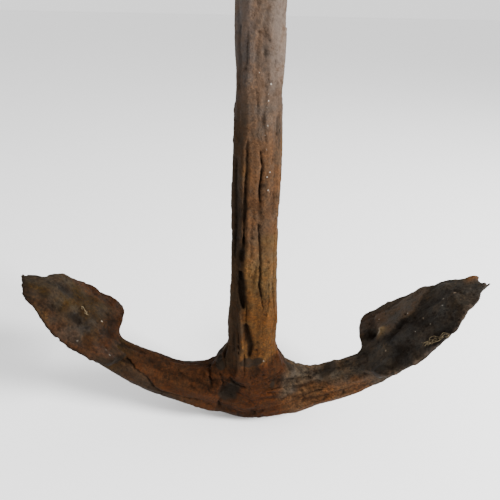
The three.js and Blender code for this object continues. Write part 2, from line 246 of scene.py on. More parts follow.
def local_points(obj):
    """An object's vertices in millimetres from the crown's foot."""
    flat = np.empty(len(obj.data.vertices) * 3, np.float32)
    obj.data.vertices.foreach_get("co", flat)
    return flat.reshape(-1, 3) / MM - np.array([0, 0, FOOT], np.float32)


# ---------------------------------------------------------------- lines and maps in a plane
def line_distance(a, b, start, end):
    """Distance in a plane from points (a, b) to a straight stretch."""
    ux, uy = end[0] - start[0], end[1] - start[1]
    t = np.clip(((a - start[0]) * ux + (b - start[1]) * uy) / (ux**2 + uy**2), 0, 1)
    return np.hypot(a - start[0] - t * ux, b - start[1] - t * uy)


def off_line(a, b, line):
    """Distance in a plane from points (a, b) to a line through corners."""
    gap = np.full(np.shape(a), 1e3)
    for start, end in zip(line, line[1:]):
        gap = np.minimum(gap, line_distance(a, b, start, end))
    return gap


def smooth_loop(corners, steps=7):
    """A closed Catmull-Rom line through corners."""
    t = np.linspace(0, 1, steps, endpoint=False)[:, None]
    line = []
    count = len(corners)
    for i in range(count):
        p0, p1, p2, p3 = (corners[(i + k) % count] for k in (-1, 0, 1, 2))
        bend = (2 * p0 - 5 * p1 + 4 * p2 - p3) * t**2 + (3 * p1 - p0 - 3 * p2 + p3) * t**3
        line.append(p1 + 0.5 * ((p2 - p0) * t + bend))
    return np.concatenate(line)


def sample_map(grid, u, v):
    """Bilinear value of a grid with a spacing of 1."""
    u = np.clip(u, 0, grid.shape[0] - 1.001)
    v = np.clip(v, 0, grid.shape[1] - 1.001)
    i, j = u.astype(int), v.astype(int)
    fu, fv = u - i, v - j
    low = grid[i, j] * (1 - fv) + grid[i, j + 1] * fv
    high = grid[i + 1, j] * (1 - fv) + grid[i + 1, j + 1] * fv
    return low * (1 - fu) + high * fu


# ---------------------------------------------------------------- the arms' curve
# Outer edge of the right arm: corners in X and Z.
ARM_POINTS = np.array([(10, 0), (62, 17), (126, 41), (187, 86), (229, 140), (250, 194)], float)
ARM_ROOT = (50.0, 48.0)  # height across the curve, and depth, at the crown
BILL_ROOT = (21.0, 18.5)
BILL_TIP = (3.0, 5.0)
BILL_LENGTH = 24.0
ARM_TAPER = (1.7, 1.5)  # powers of the share of the arm's length, for height and depth
RUN_ON = 22.0  # how far the curve is carried on past both of its ends
MAP_LOW_Z = -24.0


def arm_curve():
    """The right arm's outer edge and distances along it, carried straight on past both of its ends."""
    corners = [ARM_POINTS[0], *ARM_POINTS, ARM_POINTS[-1]]
    t = np.linspace(0, 1, 60, endpoint=False)[:, None]
    line = []
    for p0, p1, p2, p3 in zip(corners, corners[1:], corners[2:], corners[3:]):
        v0, v1 = (p2 - p0) / 2, (p3 - p1) / 2
        cubic, square = 2 * p1 - 2 * p2 + v0 + v1, -3 * p1 + 3 * p2 - 2 * v0 - v1
        line.append(cubic * t**3 + square * t**2 + v0 * t + p1)
    line = np.concatenate([*line, ARM_POINTS[-1:]])
    run = line[-1] - line[-2]
    start = ARM_POINTS[0] - (RUN_ON, 0)
    line = np.vstack([start, (0.0, 0.0), line, line[-1] + run / np.linalg.norm(run) * RUN_ON])
    distance = np.concatenate([[0], np.cumsum(np.linalg.norm(np.diff(line, axis=0), axis=1))])
    return line, distance - RUN_ON  # counted from the end of the crown's flat foot


ARM_LINE, ARM_DISTANCE = arm_curve()
ARM_LENGTH = float(ARM_DISTANCE[-1] - RUN_ON)


def arm_map():
    """Distance along the arm and height above its outer edge, on a grid of X and Z."""
    x = np.arange(0, 290, 1.0)
    z = np.arange(MAP_LOW_Z, 250, 1.0)
    px, pz = [a.ravel() for a in np.meshgrid(x, z, indexing="ij")]
    best = np.full(px.shape, 1e9)
    along = np.zeros(px.shape)
    height = np.zeros(px.shape)
    for (ax, az), (bx, bz), d in zip(ARM_LINE, ARM_LINE[1:], ARM_DISTANCE):
        ux, uz = bx - ax, bz - az
        length = math.hypot(ux, uz)
        t = np.clip(((px - ax) * ux + (pz - az) * uz) / length**2, 0, 1)
        gap = np.hypot(px - ax - t * ux, pz - az - t * uz)
        side = (ux * (pz - az) - uz * (px - ax)) / length
        closer = gap < best - 1e-9
        best = np.where(closer, gap, best)
        along = np.where(closer, d + t * length, along)
        height = np.where(closer, np.sign(side) * gap, height)
    return along.reshape(len(x), len(z)), height.reshape(len(x), len(z))


ALONG_MAP, HEIGHT_MAP = arm_map()


def arm_point(along):
    return np.array([np.interp(along, ARM_DISTANCE, ARM_LINE[:, axis]) for axis in (0, 1)])


def arm_place(x, z):
    """Distance along the arm from the crown, and height above its outer edge, of any points."""
    u, v = np.broadcast_arrays(np.abs(x), z - MAP_LOW_Z)
    return sample_map(ALONG_MAP, u, v), sample_map(HEIGHT_MAP, u, v)


def arm_size(along, which):
    """The arm's height (which is 0) or depth (1)."""
    share = np.clip(along / (ARM_LENGTH - BILL_LENGTH), 0, 1)
    bill = np.clip((along + BILL_LENGTH - ARM_LENGTH) / BILL_LENGTH, 0, 1)
    body = mix(ARM_ROOT[which], BILL_ROOT[which], share ** ARM_TAPER[which])
    return np.where(bill > 0, mix(BILL_ROOT[which], BILL_TIP[which], bill), body)


# ---------------------------------------------------------------- shank, crown and arms as one forging
SHANK_TOP = 800.0
# The shank's half width, half depth and corner cut at heights of SHANK_Z.
SHANK_Z = [0, 124, 230, 400, 648, 662, 791, 800]
SHANK_HALF = [28, 27.3, 23.8, 20.5, 19, 23, 23, 16.5]
SHANK_DEPTH = [24, 23.5, 21.3, 19, 18, 23, 23, 16.5]
SHANK_CORNER = [12.8, 12.7, 11.5, 10.3, 9.7, 5, 5, 6]
SHANK_WELD = 124.0  # where the shank begins, up from the foot
ARM_WELD = 86.0  # where the arms begin, along them
STOCK_Z, STOCK_HOLE = 700.0, 14.0  # height and radius
BOLT_Z, BOLT_HOLE = 776.0, 8.6
CROWN_HOLLOW = 62.0  # size of the hollow corners between shank and arms


def forging(x, y, z):
    """The field of the plain forging, before its unevenness."""
    along, height = arm_place(x, z)
    tall, deep = arm_size(along, 0), arm_size(along, 1)
    pointed = (height - 2.0 - 1.4 * (ARM_LENGTH - along)) / 1.7  # the bill slopes down to its point
    arm = np.maximum(np.maximum(np.maximum(-height, height - tall), along - ARM_LENGTH), pointed)
    half = np.interp(z, SHANK_Z, SHANK_HALF)
    shank = np.maximum(np.maximum(np.abs(x) - half, 42 - z), z - SHANK_TOP)
    outline = smooth_min(arm, shank, CROWN_HOLLOW)
    upper = ease(60, 118, z) * (1 - ease(40, 80, np.abs(x)))  # where the shank's section takes over
    depth = mix(deep / 2, np.interp(z, SHANK_Z, SHANK_DEPTH), upper)
    corner = mix(0.27 * np.minimum(tall, deep), np.interp(z, SHANK_Z, SHANK_CORNER), upper)
    side = np.abs(y) - depth
    body = smooth_max(outline, side, 3.0)
    body = smooth_max(body, (outline + side + corner) / math.sqrt(2), 2.5)
    stock_hole = STOCK_HOLE - np.sqrt(x**2 + (z - STOCK_Z) ** 2)
    bolt_hole = BOLT_HOLE - np.sqrt(y**2 + (z - BOLT_Z) ** 2)
    return np.maximum(np.maximum(body, stock_hole), bolt_hole)


def strands(along, a, b, seed):
    """Relief of iron that has rusted along its fibres: ridges, slots between them, and broken layers."""
    p = stack(along, a, b)
    wander = 3.5 * noise(p, (95, 45, 45), seed)
    p = stack(along, a + wander, b + 0.6 * wander)
    rope = 0.5 * noise(p, (150, 9, 9), seed + 1) + 0.32 * noise(p, (80, 4.6, 4.6), seed + 2)
    rope += 0.2 * noise(p, (34, 2.6, 2.6), seed + 3)
    line = np.abs(noise(p, (170, 12, 12), seed + 4))
    slot = np.clip(1 - line / 0.07, 0, 1) * ease(-0.05, 0.35, noise(p, (110, 26, 26), seed + 5))
    layer = noise(p, (72, 17, 17), seed + 6) + 0.3 * noise(p, (20, 7, 7), seed + 7)
    steps = 0.9 * ease(-0.05, 0.03, layer) + 0.7 * ease(0.33, 0.4, layer) - 0.8 * ease(-0.42, -0.5, layer)
    return rope - 1.5 * slot + steps - 0.7


def crust(p, seed, amount=1.0):
    """Relief of rust with no direction: blisters, pits and grains."""
    blister = 1.5 * np.clip(noise(p, 9.0, seed) - 0.42, 0, 1)
    pits = 2.6 * np.clip(noise(p, 5.0, seed + 1) - 0.42, 0, 1)
    pits += 1.6 * np.clip(noise(p, 2.9, seed + 2) - 0.4, 0, 1)
    grain = 0.12 * noise(p, 3.4, seed + 3)
    return amount * (blister - pits + grain)


def along_line(p, line, width, depth):
    """A groove, or a ridge if depth is negative, along (x, z) points on the front, narrow at its ends."""
    x, z = np.array(line[::-1], float).T
    wobble = 0.5 * noise(stack(p[:, 2], p[:, 2] * 0, p[:, 2] * 0), 7.0, 77)
    share = np.clip((p[:, 2] - z[0] + 3) / (z[-1] - z[0] + 6), 0, 1)
    lens = np.sqrt(np.sin(np.pi * share).clip(0, 1))
    off = (p[:, 0] - np.interp(p[:, 2], z, x) - wobble) / (width * (0.2 + 0.8 * lens))
    return depth * np.exp(-(off**2)) * ease(0, 0.5, lens) * (p[:, 1] < 0)


# Grooves on the front of the shank: line of (x, z), half width, depth.
SHANK_GROOVES = [
    ([(-9, 348), (-9, 322), (-9.8, 302), (-10.4, 282), (-10.8, 262), (-10.8, 246)], 1.7, 2.6),
    ([(-10.6, 253), (-11.2, 243), (-12.6, 230)], 2.6, 3.4),
    ([(-12.4, 238), (-13.4, 228), (-12.0, 214)], 4.0, 1.6),
    ([(-13.6, 214), (-12.4, 203), (-12.2, 190), (-11, 174)], 2.9, 6.5),
    ([(-7.6, 151), (-5.4, 138), (-2.6, 125), (-3.2, 109)], 3.8, 3.8),
    ([(2.2, 340), (4.4, 328), (3.8, 316), (2.4, 304), (3.4, 293)], 0.9, 3.2),
    ([(-2.2, 388), (-0.4, 367), (-0.6, 348)], 1.0, 1.2),
    ([(2.4, 268), (3.8, 253), (5.2, 237), (5.9, 214), (5.2, 202), (7.6, 187), (10, 173)], 1.0, 2.6),
    ([(-18.2, 332), (-18.8, 304), (-18.6, 262), (-19.4, 230)], 1.8, 2.0),
    ([(-17, 152), (-15, 130), (-14.6, 112)], 1.3, 1.3),
    ([(-22, 172), (-21, 140), (-19.5, 112)], 1.6, 1.1),
    ([(-14.4, 168), (-12.6, 146), (-10.6, 120)], 1.5, -1.4),
]
# Swellings and hollows that make the forging uneven: x, z, reach in x and z, rise.
SHAPE = [
    (-40, 90, 14, 18, 3.4),
    (34, 94, 9, 18, 1.0),
    (-60, 58, 22, 12, 3.0),
    (70, 58, 28, 13, -5.0),
    (-47, 8, 20, 12, -6.0),
    (40, 6, 18, 12, -3.2),
    (0, -2, 40, 10, -2.6),
    (-224, 128, 12, 18, -1.2),
]
# The line of (x, z) points where a ridge runs up the front of the shank, with pale specks painted along it as
# glints.
PALE_RIDGE = [(8.4, 410), (9.6, 395), (7.2, 380), (6.8, 363), (8.8, 350), (10.4, 332), (11, 292)]
# Cracks in the front of the crown: line of (x, z), half width, depth.
CROWN_CRACKS = [
    ([(-25, 74), (-20, 66), (-13, 63), (-8, 61)], 1.4, 2.4),
    ([(-30, 104), (-31, 95), (-29, 86)], 1.6, 0.8),
    ([(-48, 92), (-50, 77), (-47, 62)], 1.5, 2.2),
    ([(20, 71), (39, 67), (56, 65), (90, 64)], 0.9, 0.9),
    ([(12, 62), (39, 59), (69, 57), (96, 60)], 0.9, 1.1),
    ([(0, 48), (30, 45), (52, 47)], 0.8, 0.7),
    ([(-37, 78), (-33, 66), (-36, 52)], 1.0, 1.2),
]
# A layer of the left arm ends along this line on its front: distance along the arm, height.
LEFT_LAYER = [(60, 24), (85, 22), (111, 20), (127, 25), (140, 31), (150, 33.5), (160, 33), (176, 31)]
# Lumps, and hollows with a negative rise, on the front of the crown: x, z, radius, rise.
CROWN_LUMPS = [
    (-5, 99, 6, 1.4),
    (10, 101, 6.5, 1.6),
    (-38, 89, 6, 1.2),
    (-27, 50, 14, -2.6),
    (-19, 66, 9, -1.4),
]


def layer_gap(along, height, p):
    """How far a place is above the lower edge of the left arm's front layer."""
    ragged = 1.6 * noise(p, 14.0, 63) + 0.9 * noise(p, 5.0, 64)
    return height - np.interp(along, *zip(*LEFT_LAYER)) + ragged


def shank_share(x, z):
    """How far a place belongs to the shank's fibres rather than the arms'."""
    return ease(60, 92, z - 0.25 * np.abs(x)) * (1 - ease(44, 62, np.abs(x)))


def forging_shape(p):
    """Broad unevenness of the forging, apart from its surface."""
    x, z = p[:, 0], p[:, 2]
    along, height = arm_place(x, z)
    rise = 1.0 * noise(p, 55.0, 50)
    for at_x, at_z, reach_x, reach_z, amount in SHAPE:
        rise += amount * np.exp(-(((x - at_x) / reach_x) ** 2) - ((z - at_z) / reach_z) ** 2)
    worn = ease(14, 5, height) * ease(ARM_LENGTH - 76, ARM_LENGTH - 40, along) * (x > 0)
    return rise - 3.0 * worn  # the right arm's outer edge is thin near the bill


def forging_relief(p):
    """The forging's surface: fibres, rust, grooves, cracks and layers."""
    x, y, z = p.T
    along, height = arm_place(x, z)
    share = shank_share(x, z).astype(np.float32)
    relief = np.zeros(len(p), np.float32)
    up = share > 0.001
    relief[up] += share[up] * strands(z[up], x[up], y[up], 3)
    out = share < 0.999
    signed = np.where(x < 0, -along - 60, along)
    relief[out] += (1 - share[out]) * strands(signed[out], height[out], y[out], 21)
    head = ease(640, 668, z)
    thin = ease(250, 330, along) * (z < 260)
    relief *= (1 - 0.55 * head) * (1 - 0.5 * thin)
    relief += crust(p, 40) * (1 - 0.4 * head)
    for line, width, depth in SHANK_GROOVES:
        relief -= along_line(p, line, width, depth)
    for lump_x, lump_z, radius, rise in CROWN_LUMPS:
        off = np.hypot(x - lump_x, z - lump_z) / radius
        relief += rise * np.exp(-(off**2) * 1.4) * (y < 0)
    # The left arm is lapped onto the crown: a ragged seam, with the arm standing proud beyond it.
    seam = along - 38 - 5 * noise(p, (40, 14, 14), 61) - 0.12 * (height - 27)
    left = (x < 0) & (z < 75)
    gaps = ease(-0.2, 0.4, noise(p, 12.0, 62)) * ease(18, 30, height)
    relief -= left * 1.5 * np.exp(-((seam / 2.0) ** 2)) * gaps
    relief += left * 0.9 * ease(0, 8, seam) * (1 - ease(26, 60, seam))
    fold = layer_gap(along, height, p)
    reach = (x < 0) * (y < 0) * ease(60, 76, along) * (1 - ease(170, 188, along))
    edge = 1.5 * ease(-0.8, 0.8, fold) * ease(16, 2, fold) - 1.6 * np.exp(-(((fold + 1.2) / 1.5) ** 2))
    relief += reach * edge
    fray = 0.9 * noise(p, 6.0, 65)
    near = np.abs(x) < 110
    for line, width, depth in CROWN_CRACKS:
        gap = off_line(x[near] + fray[near], z[near] + 0.6 * fray[near], line)
        relief[near] -= depth * np.exp(-((gap / width) ** 2)) * (y[near] < 0)
    relief += along_line(p, PALE_RIDGE, 1.0, 0.8)
    for across, hole_z, radius in ((x, STOCK_Z, STOCK_HOLE), (y, BOLT_Z, BOLT_HOLE)):
        rim = np.hypot(across, z - hole_z) - radius
        relief *= ease(-0.5, 3.5, np.abs(rim)) * 0.8 + 0.2
    return relief


def forging_rise(p):
    return forging_shape(p) + forging_relief(p)


FORGING_VOXEL = 1.25
SPARE = 6  # how far each piece is taken past its weld before it is cut there


def make_forging():
    """The shank, the crown and both arms, meshed as one and cut apart at their welds."""
    voxel = FORGING_VOXEL
    arms = fill(forging, forging_rise, (-262, -30, -6), (262, 30, 209), voxel)
    first, shank = fill(forging, forging_rise, (-34, -30, 190), (34, 30, 806), voxel)
    overlap = arms[0][2] + arms[1].shape[2] - first[2]
    blocks = [arms, ([first[0], first[1], first[2] + overlap], shank[:, :, overlap:])]
    points, quads = mesh_field(blocks, voxel)
    points = roughen(points, quads, (0.14, 1.9, 70), (0.1, 1.2, 71))
    centre = points[quads].mean(axis=1)
    x, z = centre[:, 0], centre[:, 2]
    along = arm_place(x, z)[0]
    edge = arm_point(ARM_WELD)
    run = arm_point(ARM_WELD + 1) - edge

    def arm_cut(side, way):
        return (side * edge[0], 0, edge[1]), (way * side * run[0], 0, way * run[1])

    def shank_cut(way):
        return (0, 0, SHANK_WELD), (0, 0, way)

    def part(name, chosen, caps):
        used = np.unique(quads[chosen])
        index = np.full(len(points), -1)
        index[used] = np.arange(len(used))
        return build_object(name, points[used], index[quads[chosen]], caps)

    near_crown = (z < SHANK_WELD + SPARE) & (along < ARM_WELD + SPARE)
    beyond = along > ARM_WELD - SPARE
    return {
        "shank": part("shank_forged", (z > SHANK_WELD - SPARE) & (np.abs(x) < 60), [shank_cut(-1)]),
        "crown": part("crown_forged", near_crown, [shank_cut(1), arm_cut(-1, 1), arm_cut(1, 1)]),
        "left_arm": part("left_arm_forged", (x < -60) & beyond, [arm_cut(-1, -1)]),
        "right_arm": part("right_arm_forged", (x > 60) & beyond, [arm_cut(1, -1)]),
    }


# ---------------------------------------------------------------- palms
# Outlines: distance along the arm from its tip, and how far the edge stands out, in front and behind.
LEFT_PALM = {
    "length": 154,
    "front": [(-2, 1), (2, 12), (7, 26), (14, 34), (24, 38.5), (42, 43), (60, 46.5), (82, 48), (102, 45),
              (115, 43), (124, 41.5), (132, 40), (138, 36), (144, 24), (154, 11)],
    "back": [(-2, 1), (1, 4), (5, 7), (8, 9), (11, 12), (14, 17), (20, 26), (30, 35), (42, 43), (60, 52),
             (82, 58), (102, 62), (117, 61), (126, 53), (131, 30), (138, 14), (154, 10)],
}  # fmt: skip
RIGHT_PALM = {
    "length": 178,
    "front": [(-2, 1), (2, 8), (9, 17), (22, 26), (44, 35), (66, 38.5), (90, 41), (114, 44), (136, 44),
              (150, 41), (158, 35), (165, 24), (178, 13)],
    "back": [(-2, 1), (0, 8), (2, 18), (7, 22), (13, 26), (22, 33), (44, 46), (66, 56), (90, 64), (114, 68),
             (138, 69), (154, 64), (162, 44), (169, 19), (178, 10)],
}  # fmt: skip


PALM_THICK, PALM_EDGE = 8.6, 3.6  # thickness above the arm, in the middle and at the edge
ROOT_BLEND = 58  # how far from its inner end a palm starts to run into the arm
PALM_ORIGIN = (-24, -70)  # the first distance from the tip, and Y, of a palm's map


def outline_map(palm):
    """Signed distance to a palm's outline, inside negative, on a grid of distance from the tip and Y."""
    front = [(a, -f) for a, f in palm["front"]]
    loop = smooth_loop(np.array(front + palm["back"][::-1], float))
    loop = np.vstack([loop, loop[:1]])
    q = np.arange(PALM_ORIGIN[0], 200, 1.0)
    y = np.arange(PALM_ORIGIN[1], 90, 1.0)
    pq, py = [a.ravel() for a in np.meshgrid(q, y, indexing="ij")]
    gap = off_line(pq, py, loop)
    inside = np.zeros(pq.shape, bool)
    for (aq, ay), (bq, by) in zip(loop, loop[1:]):
        inside ^= ((ay > py) != (by > py)) & (pq < aq + (py - ay) * (bq - aq) / (by - ay + 1e-12))
    return np.where(inside, -gap, gap).reshape(len(q), len(y))


# Slivers of iron that stand out at the tips: base and point in XZ.
SPIKES = {-1: ((-247.5, 188), (-247.0, 198.5)), 1: ((243, 186), (252.5, 196.5))}


def spike(x, y, z, base, point):
    """A thin cone in the plane of the arms."""
    ux, uz = point[0] - base[0], point[1] - base[1]
    t = np.clip(((x - base[0]) * ux + (z - base[1]) * uz) / (ux**2 + uz**2), 0, 1)
    gap = np.sqrt((x - base[0] - t * ux) ** 2 + (z - base[1] - t * uz) ** 2 + y**2)
    return gap - (2.6 - 1.8 * t)


def palm_parts(palm, side):
    """The field of a plain palm and its relief. side is -1 for the left palm and 1 for the right."""
    outline = outline_map(palm)
    length = palm["length"]
    seed = 100 + 20 * side

    def place(x, y, z):
        along, height = arm_place(x, z)
        from_tip = ARM_LENGTH - along
        rise = height - arm_size(along, 0)
        from_tip, y, rise = np.broadcast_arrays(from_tip, y, rise)
        return from_tip, y, rise

    def thickness(from_tip, y):
        front = np.interp(from_tip, *zip(*palm["front"]))
        back = np.interp(from_tip, *zip(*palm["back"]))
        share = np.clip(np.abs(y) / np.where(y < 0, front, back), 0, 1)
        root = ease(length - ROOT_BLEND, length - 6, from_tip) * (1 - ease(20, 32, np.abs(y)))
        tip = 0.3 + 0.7 * ease(-4, 30, from_tip)
        return mix(PALM_THICK, PALM_EDGE, share**1.4) * tip * (1 - root) - 2.2 * root

    def base(x, y, z):
        from_tip, y, rise = place(x, y, z)
        edge = sample_map(outline, from_tip - PALM_ORIGIN[0], y - PALM_ORIGIN[1])
        under = 0.8 + 2.4 * ease(length - ROOT_BLEND, length, from_tip)
        under += 11.0 * ease(length - 52, length - 16, from_tip) * ease(42, 24, np.abs(y))
        plate = np.maximum(rise - thickness(from_tip, y), -under - rise)
        body = smooth_max(edge, plate, 2.2)
        if side < 0:  # the left palm ends in a slope down to the bill's point
            body = smooth_max(body, (arm_place(x, z)[1] - 4.0 - 1.6 * from_tip) / 1.9, 1.5)
        return smooth_min(body, spike(x, y, z, *SPIKES[side]), 1.5)

    def relief(p):
        from_tip, y, rise = place(p[:, 0], p[:, 1], p[:, 2])
        flat = stack(from_tip, y, rise * 0)
        edge = sample_map(outline, from_tip - PALM_ORIGIN[0], y - PALM_ORIGIN[1])
        near_edge = ease(-9, -1, edge)
        bites = 0.7 * noise(flat, 12.0, seed) + 0.4 * noise(flat, 5.0, seed + 1)
        more = 1 + 1.5 * (1 - ease(5, 50, from_tip))
        bites -= 1.6 * np.clip(noise(flat, 8.0, seed + 2) - 0.4, 0, 1) * more
        layer = noise(flat, (34, 20, 20), seed + 3) + 0.35 * noise(flat, 9.0, seed + 4)
        steps = 0.8 * ease(-0.04, 0.05, layer) + 0.7 * ease(0.4, 0.47, layer) - 0.7 * ease(-0.4, -0.48, layer)
        on_face = ease(-2, 1, rise)
        amount = bites * near_edge + (steps - 0.5) * on_face * (1 - 0.5 * near_edge)
        amount += crust(p, seed + 5, 0.9 - 0.4 * near_edge) + 0.9 * noise(flat, 42.0, seed + 9)
        features = right_palm_features if side > 0 else left_palm_features
        amount += features(flat, from_tip, y, on_face)
        fade = ease(length + 2, length - 40, from_tip)
        return amount * (0.25 + 0.75 * fade)

    return base, relief


def bump(from_tip, y, at, reach):
    """A smooth round share of 1 at a place on a palm, falling to 0 beyond its reach."""
    return np.exp(-((from_tip - at[0]) / reach[0]) ** 2 - ((y - at[1]) / reach[1]) ** 2)


# A layer of the right palm has come away along this ragged edge: distance from the tip, Y.
CLIFF = [(56, 36), (66, 25), (75, 18), (86, 15), (98, 21), (110, 12), (126, 7), (134, 22)]
NUB, NUB_REACH = (131, 17), (8, 5.5)
PIT, PIT_REACH = (147, 23), (8, 5)
TIP_NUB, TIP_NUB_REACH = (4, 17), (5, 5)
RIGHT_NOTCH = (-2, 7), (3, 4)


def right_layer(flat, from_tip, y):
    """A place's share in the right palm's raised layer, and how far behind the layer's edge it lies."""
    ragged = 2.6 * noise(flat, 12.0, 150) + 1.4 * noise(flat, 4.5, 151)
    gap = y - np.interp(from_tip, *zip(*CLIFF)) - ragged
    layer = ease(-0.9, 0.9, gap) * ease(138, 132, from_tip + ragged) * ease(44, 54, from_tip)
    return layer * (1 - ease(48, 56, y + ragged)), gap


def right_palm_features(flat, from_tip, y, on_face):
    """A raised layer, a nub and a pit near its root, and a notched tip."""
    layer, gap = right_layer(flat, from_tip, y)
    foot = np.exp(-(((gap + 6) / 5) ** 2)) * ease(52, 66, from_tip) * ease(146, 130, from_tip)
    amount = 2.3 * layer - 1.3 * foot
    amount += 4.2 * bump(from_tip, y, NUB, NUB_REACH) - 4.2 * bump(from_tip, y, PIT, PIT_REACH)
    amount = amount * on_face + 2.4 * bump(from_tip, y, TIP_NUB, TIP_NUB_REACH)
    return amount - 4.0 * bump(from_tip, y, *RIGHT_NOTCH)


# Dark hollows in the left palm: distance from the tip, Y, reach of each.
LEFT_HOLLOWS = [((35, 9), (13, 9)), ((84, -16), (14, 9)), ((69, -11), (10, 7)), ((112, -6), (10, 8))]
LEFT_BITES = [((2.5, 8), (2.5, 3)), ((12, 15), (4, 4))]


def left_palm_features(flat, from_tip, y, on_face):
    """Shallow hollows, and bites out of the far edge near the tip."""
    amount = -1.3 * sum(bump(from_tip, y, at, reach) for at, reach in LEFT_HOLLOWS) * on_face
    for at, reach in LEFT_BITES:
        amount = amount - 2.5 * bump(from_tip, y, at, reach)
    return amount


PALM_VOXEL = 1.0


def make_palm(name, palm, side):
    base, relief = palm_parts(palm, side)
    low = (min(side * 112, side * 266), -62, 84)
    high = (max(side * 112, side * 266), 82, 222)
    points, quads = mesh_field([fill(base, relief, low, high, PALM_VOXEL)], PALM_VOXEL)
    return build_object(name, roughen(points, quads, (0.12, 1.6, 90)), quads)


# ---------------------------------------------------------------- stock
STRAIGHT_REACH, BENT_REACH = 382.0, 322.0  # from the shank to the balls' centres, along Y
STOCK_RADIUS, BEND_RADIUS, STOCK_LEG, BALL_RADIUS = 13.0, 45.0, 105.0, 24.0
KEY_Y, KEY_HALF, KEY_THICK = -34.0, 10.0, 3.0
SLOT_ROOM = 0.3  # between the key and the sides of its slot
BALL_FLATS = 1.6  # depth of the flats on the balls
SHOULDER_Y, SHOULDER_HALF, SHOULDER_RADIUS = 30, 6, 21
KEY_EYE_Z, KEY_EYE_RADIUS, KEY_EYE_HOLE = 31, 10, 4.6  # up from the stock's axis


def stock_bar(x, y, z):
    z = z - STOCK_Z
    bend_y = BEND_RADIUS - BENT_REACH
    flat = line_distance(y, z, (bend_y, 0), (STRAIGHT_REACH - 10, 0))
    leg = line_distance(y, z, (-BENT_REACH, -BEND_RADIUS), (-BENT_REACH, 10 - STOCK_LEG))
    turn = np.abs(np.hypot(y - bend_y, z + BEND_RADIUS) - BEND_RADIUS)
    turn = np.where((y < bend_y) & (z > -BEND_RADIUS), turn, 1e3)
    centre = np.minimum(np.minimum(flat, leg), turn)
    return np.hypot(x, centre) - STOCK_RADIUS


def bar_with_slot(x, y, z):
    slot = np.maximum(np.abs(x) - KEY_THICK - SLOT_ROOM, np.abs(y - KEY_Y) - KEY_HALF - SLOT_ROOM)
    return np.maximum(stock_bar(x, y, z), -np.maximum(slot, np.abs(z - STOCK_Z) - 30))


def bar_relief(p):
    rows = stack(p[:, 1], p[:, 0], p[:, 2])
    rope = 0.28 * noise(rows, (110, 6, 6), 201) + 0.16 * noise(rows, (45, 3.2, 3.2), 202)
    sleeve = ease(20, 40, np.abs(p[:, 1]))
    return (rope + crust(p, 205, 0.62) + 0.5 * noise(p, 40.0, 209)) * (0.25 + 0.75 * sleeve) - 0.1


def ball_relief(p):
    return crust(p, 215, 0.75) + 0.9 * noise(p, 16.0, 219) - 0.2


def small_relief(p):
    return crust(p, 225, 0.42) + 0.25 * noise(p, 12.0, 229) - 0.12


def ball(centre):
    """The field of a ball, hammered slightly flat on six sides."""

    def field(x, y, z):
        d = np.sqrt((x - centre[0]) ** 2 + (y - centre[1]) ** 2 + (z - centre[2]) ** 2) - BALL_RADIUS
        cube = np.maximum(np.maximum(np.abs(x), np.abs(y - centre[1])), np.abs(z - centre[2]))
        return smooth_max(d, cube - BALL_RADIUS + BALL_FLATS, 2.0)

    return field


def shoulder(x, y, z):
    ring = np.hypot(x, z - STOCK_Z) - SHOULDER_RADIUS
    side = np.abs(y - SHOULDER_Y) - SHOULDER_HALF
    body = smooth_max(smooth_max(ring, side, 1.5), (ring + side + 3.5) / math.sqrt(2), 1.5)
    return np.maximum(body, STOCK_RADIUS + 0.4 - np.hypot(x, z - STOCK_Z))


def key(x, y, z):
    y, z = y - KEY_Y, z - STOCK_Z
    half = np.interp(z, [-36, 0], [7, KEY_HALF])
    shaft = np.maximum(np.maximum(np.abs(y) - half, -36 - z), z - 26)
    eye = np.hypot(y, z - KEY_EYE_Z)
    plan = np.maximum(smooth_min(shaft, eye - KEY_EYE_RADIUS, 2.0), KEY_EYE_HOLE - eye)
    return smooth_max(plan, np.abs(x) - KEY_THICK, 1.2)


# ---------------------------------------------------------------- shackle
BOW_HALF, BOW_RADIUS, BOW_INSIDE = 31.0, 7.0, 76.0  # half width between the legs' axes, bar, length inside
EYE_RADIUS = 16
EYE_FACE = BOW_HALF + BOW_RADIUS  # where the eyes' outer faces are along X
BOLT_RADIUS, HEAD_RADIUS, HEAD_HALF = 8, 14, 4.5
FORELOCK_X = 47.4  # middle of the bolt's slot
RUBBED = 0.08  # the most that faces which rub together stand proud


def bow(x, y, z):
    """An arch on two legs, with eyes whose faces are kept flat for the bolt's head and the shank."""
    z = z - BOLT_Z
    straight = BOW_INSIDE + BOW_RADIUS - BOW_HALF
    arch = np.abs(np.hypot(x, z - straight) - BOW_HALF)
    legs = line_distance(np.abs(x), z, (BOW_HALF, 2), (BOW_HALF, straight))
    bar = np.hypot(np.where(z > straight, arch, legs), y) - BOW_RADIUS
    sides = np.abs(np.abs(x) - BOW_HALF) - BOW_RADIUS
    eye = smooth_max(np.hypot(y, z) - EYE_RADIUS, sides, 2.5)
    body = np.maximum(smooth_min(bar, eye, 5.0), np.where(z < straight, sides, -BOW_RADIUS))
    return np.maximum(body, BOLT_HOLE - np.hypot(y, z))


def bow_relief(p):
    rise = crust(p, 235, 0.5) + 0.35 * noise(p, 14.0, 239) - 0.2
    wear = np.exp(-(np.hypot(p[:, 0], p[:, 2] - BOLT_Z - BOW_INSIDE) / 11) ** 2)
    eye = ease(EYE_RADIUS + 3, EYE_RADIUS - 1, np.hypot(p[:, 1], p[:, 2] - BOLT_Z))
    return np.minimum(rise * (1 - 0.8 * wear), mix(1.0, RUBBED, eye))


def rubbed_relief(p):
    """Pits but no lumps, where the bolt turns in the bow's eyes."""
    return np.minimum(small_relief(p), RUBBED)


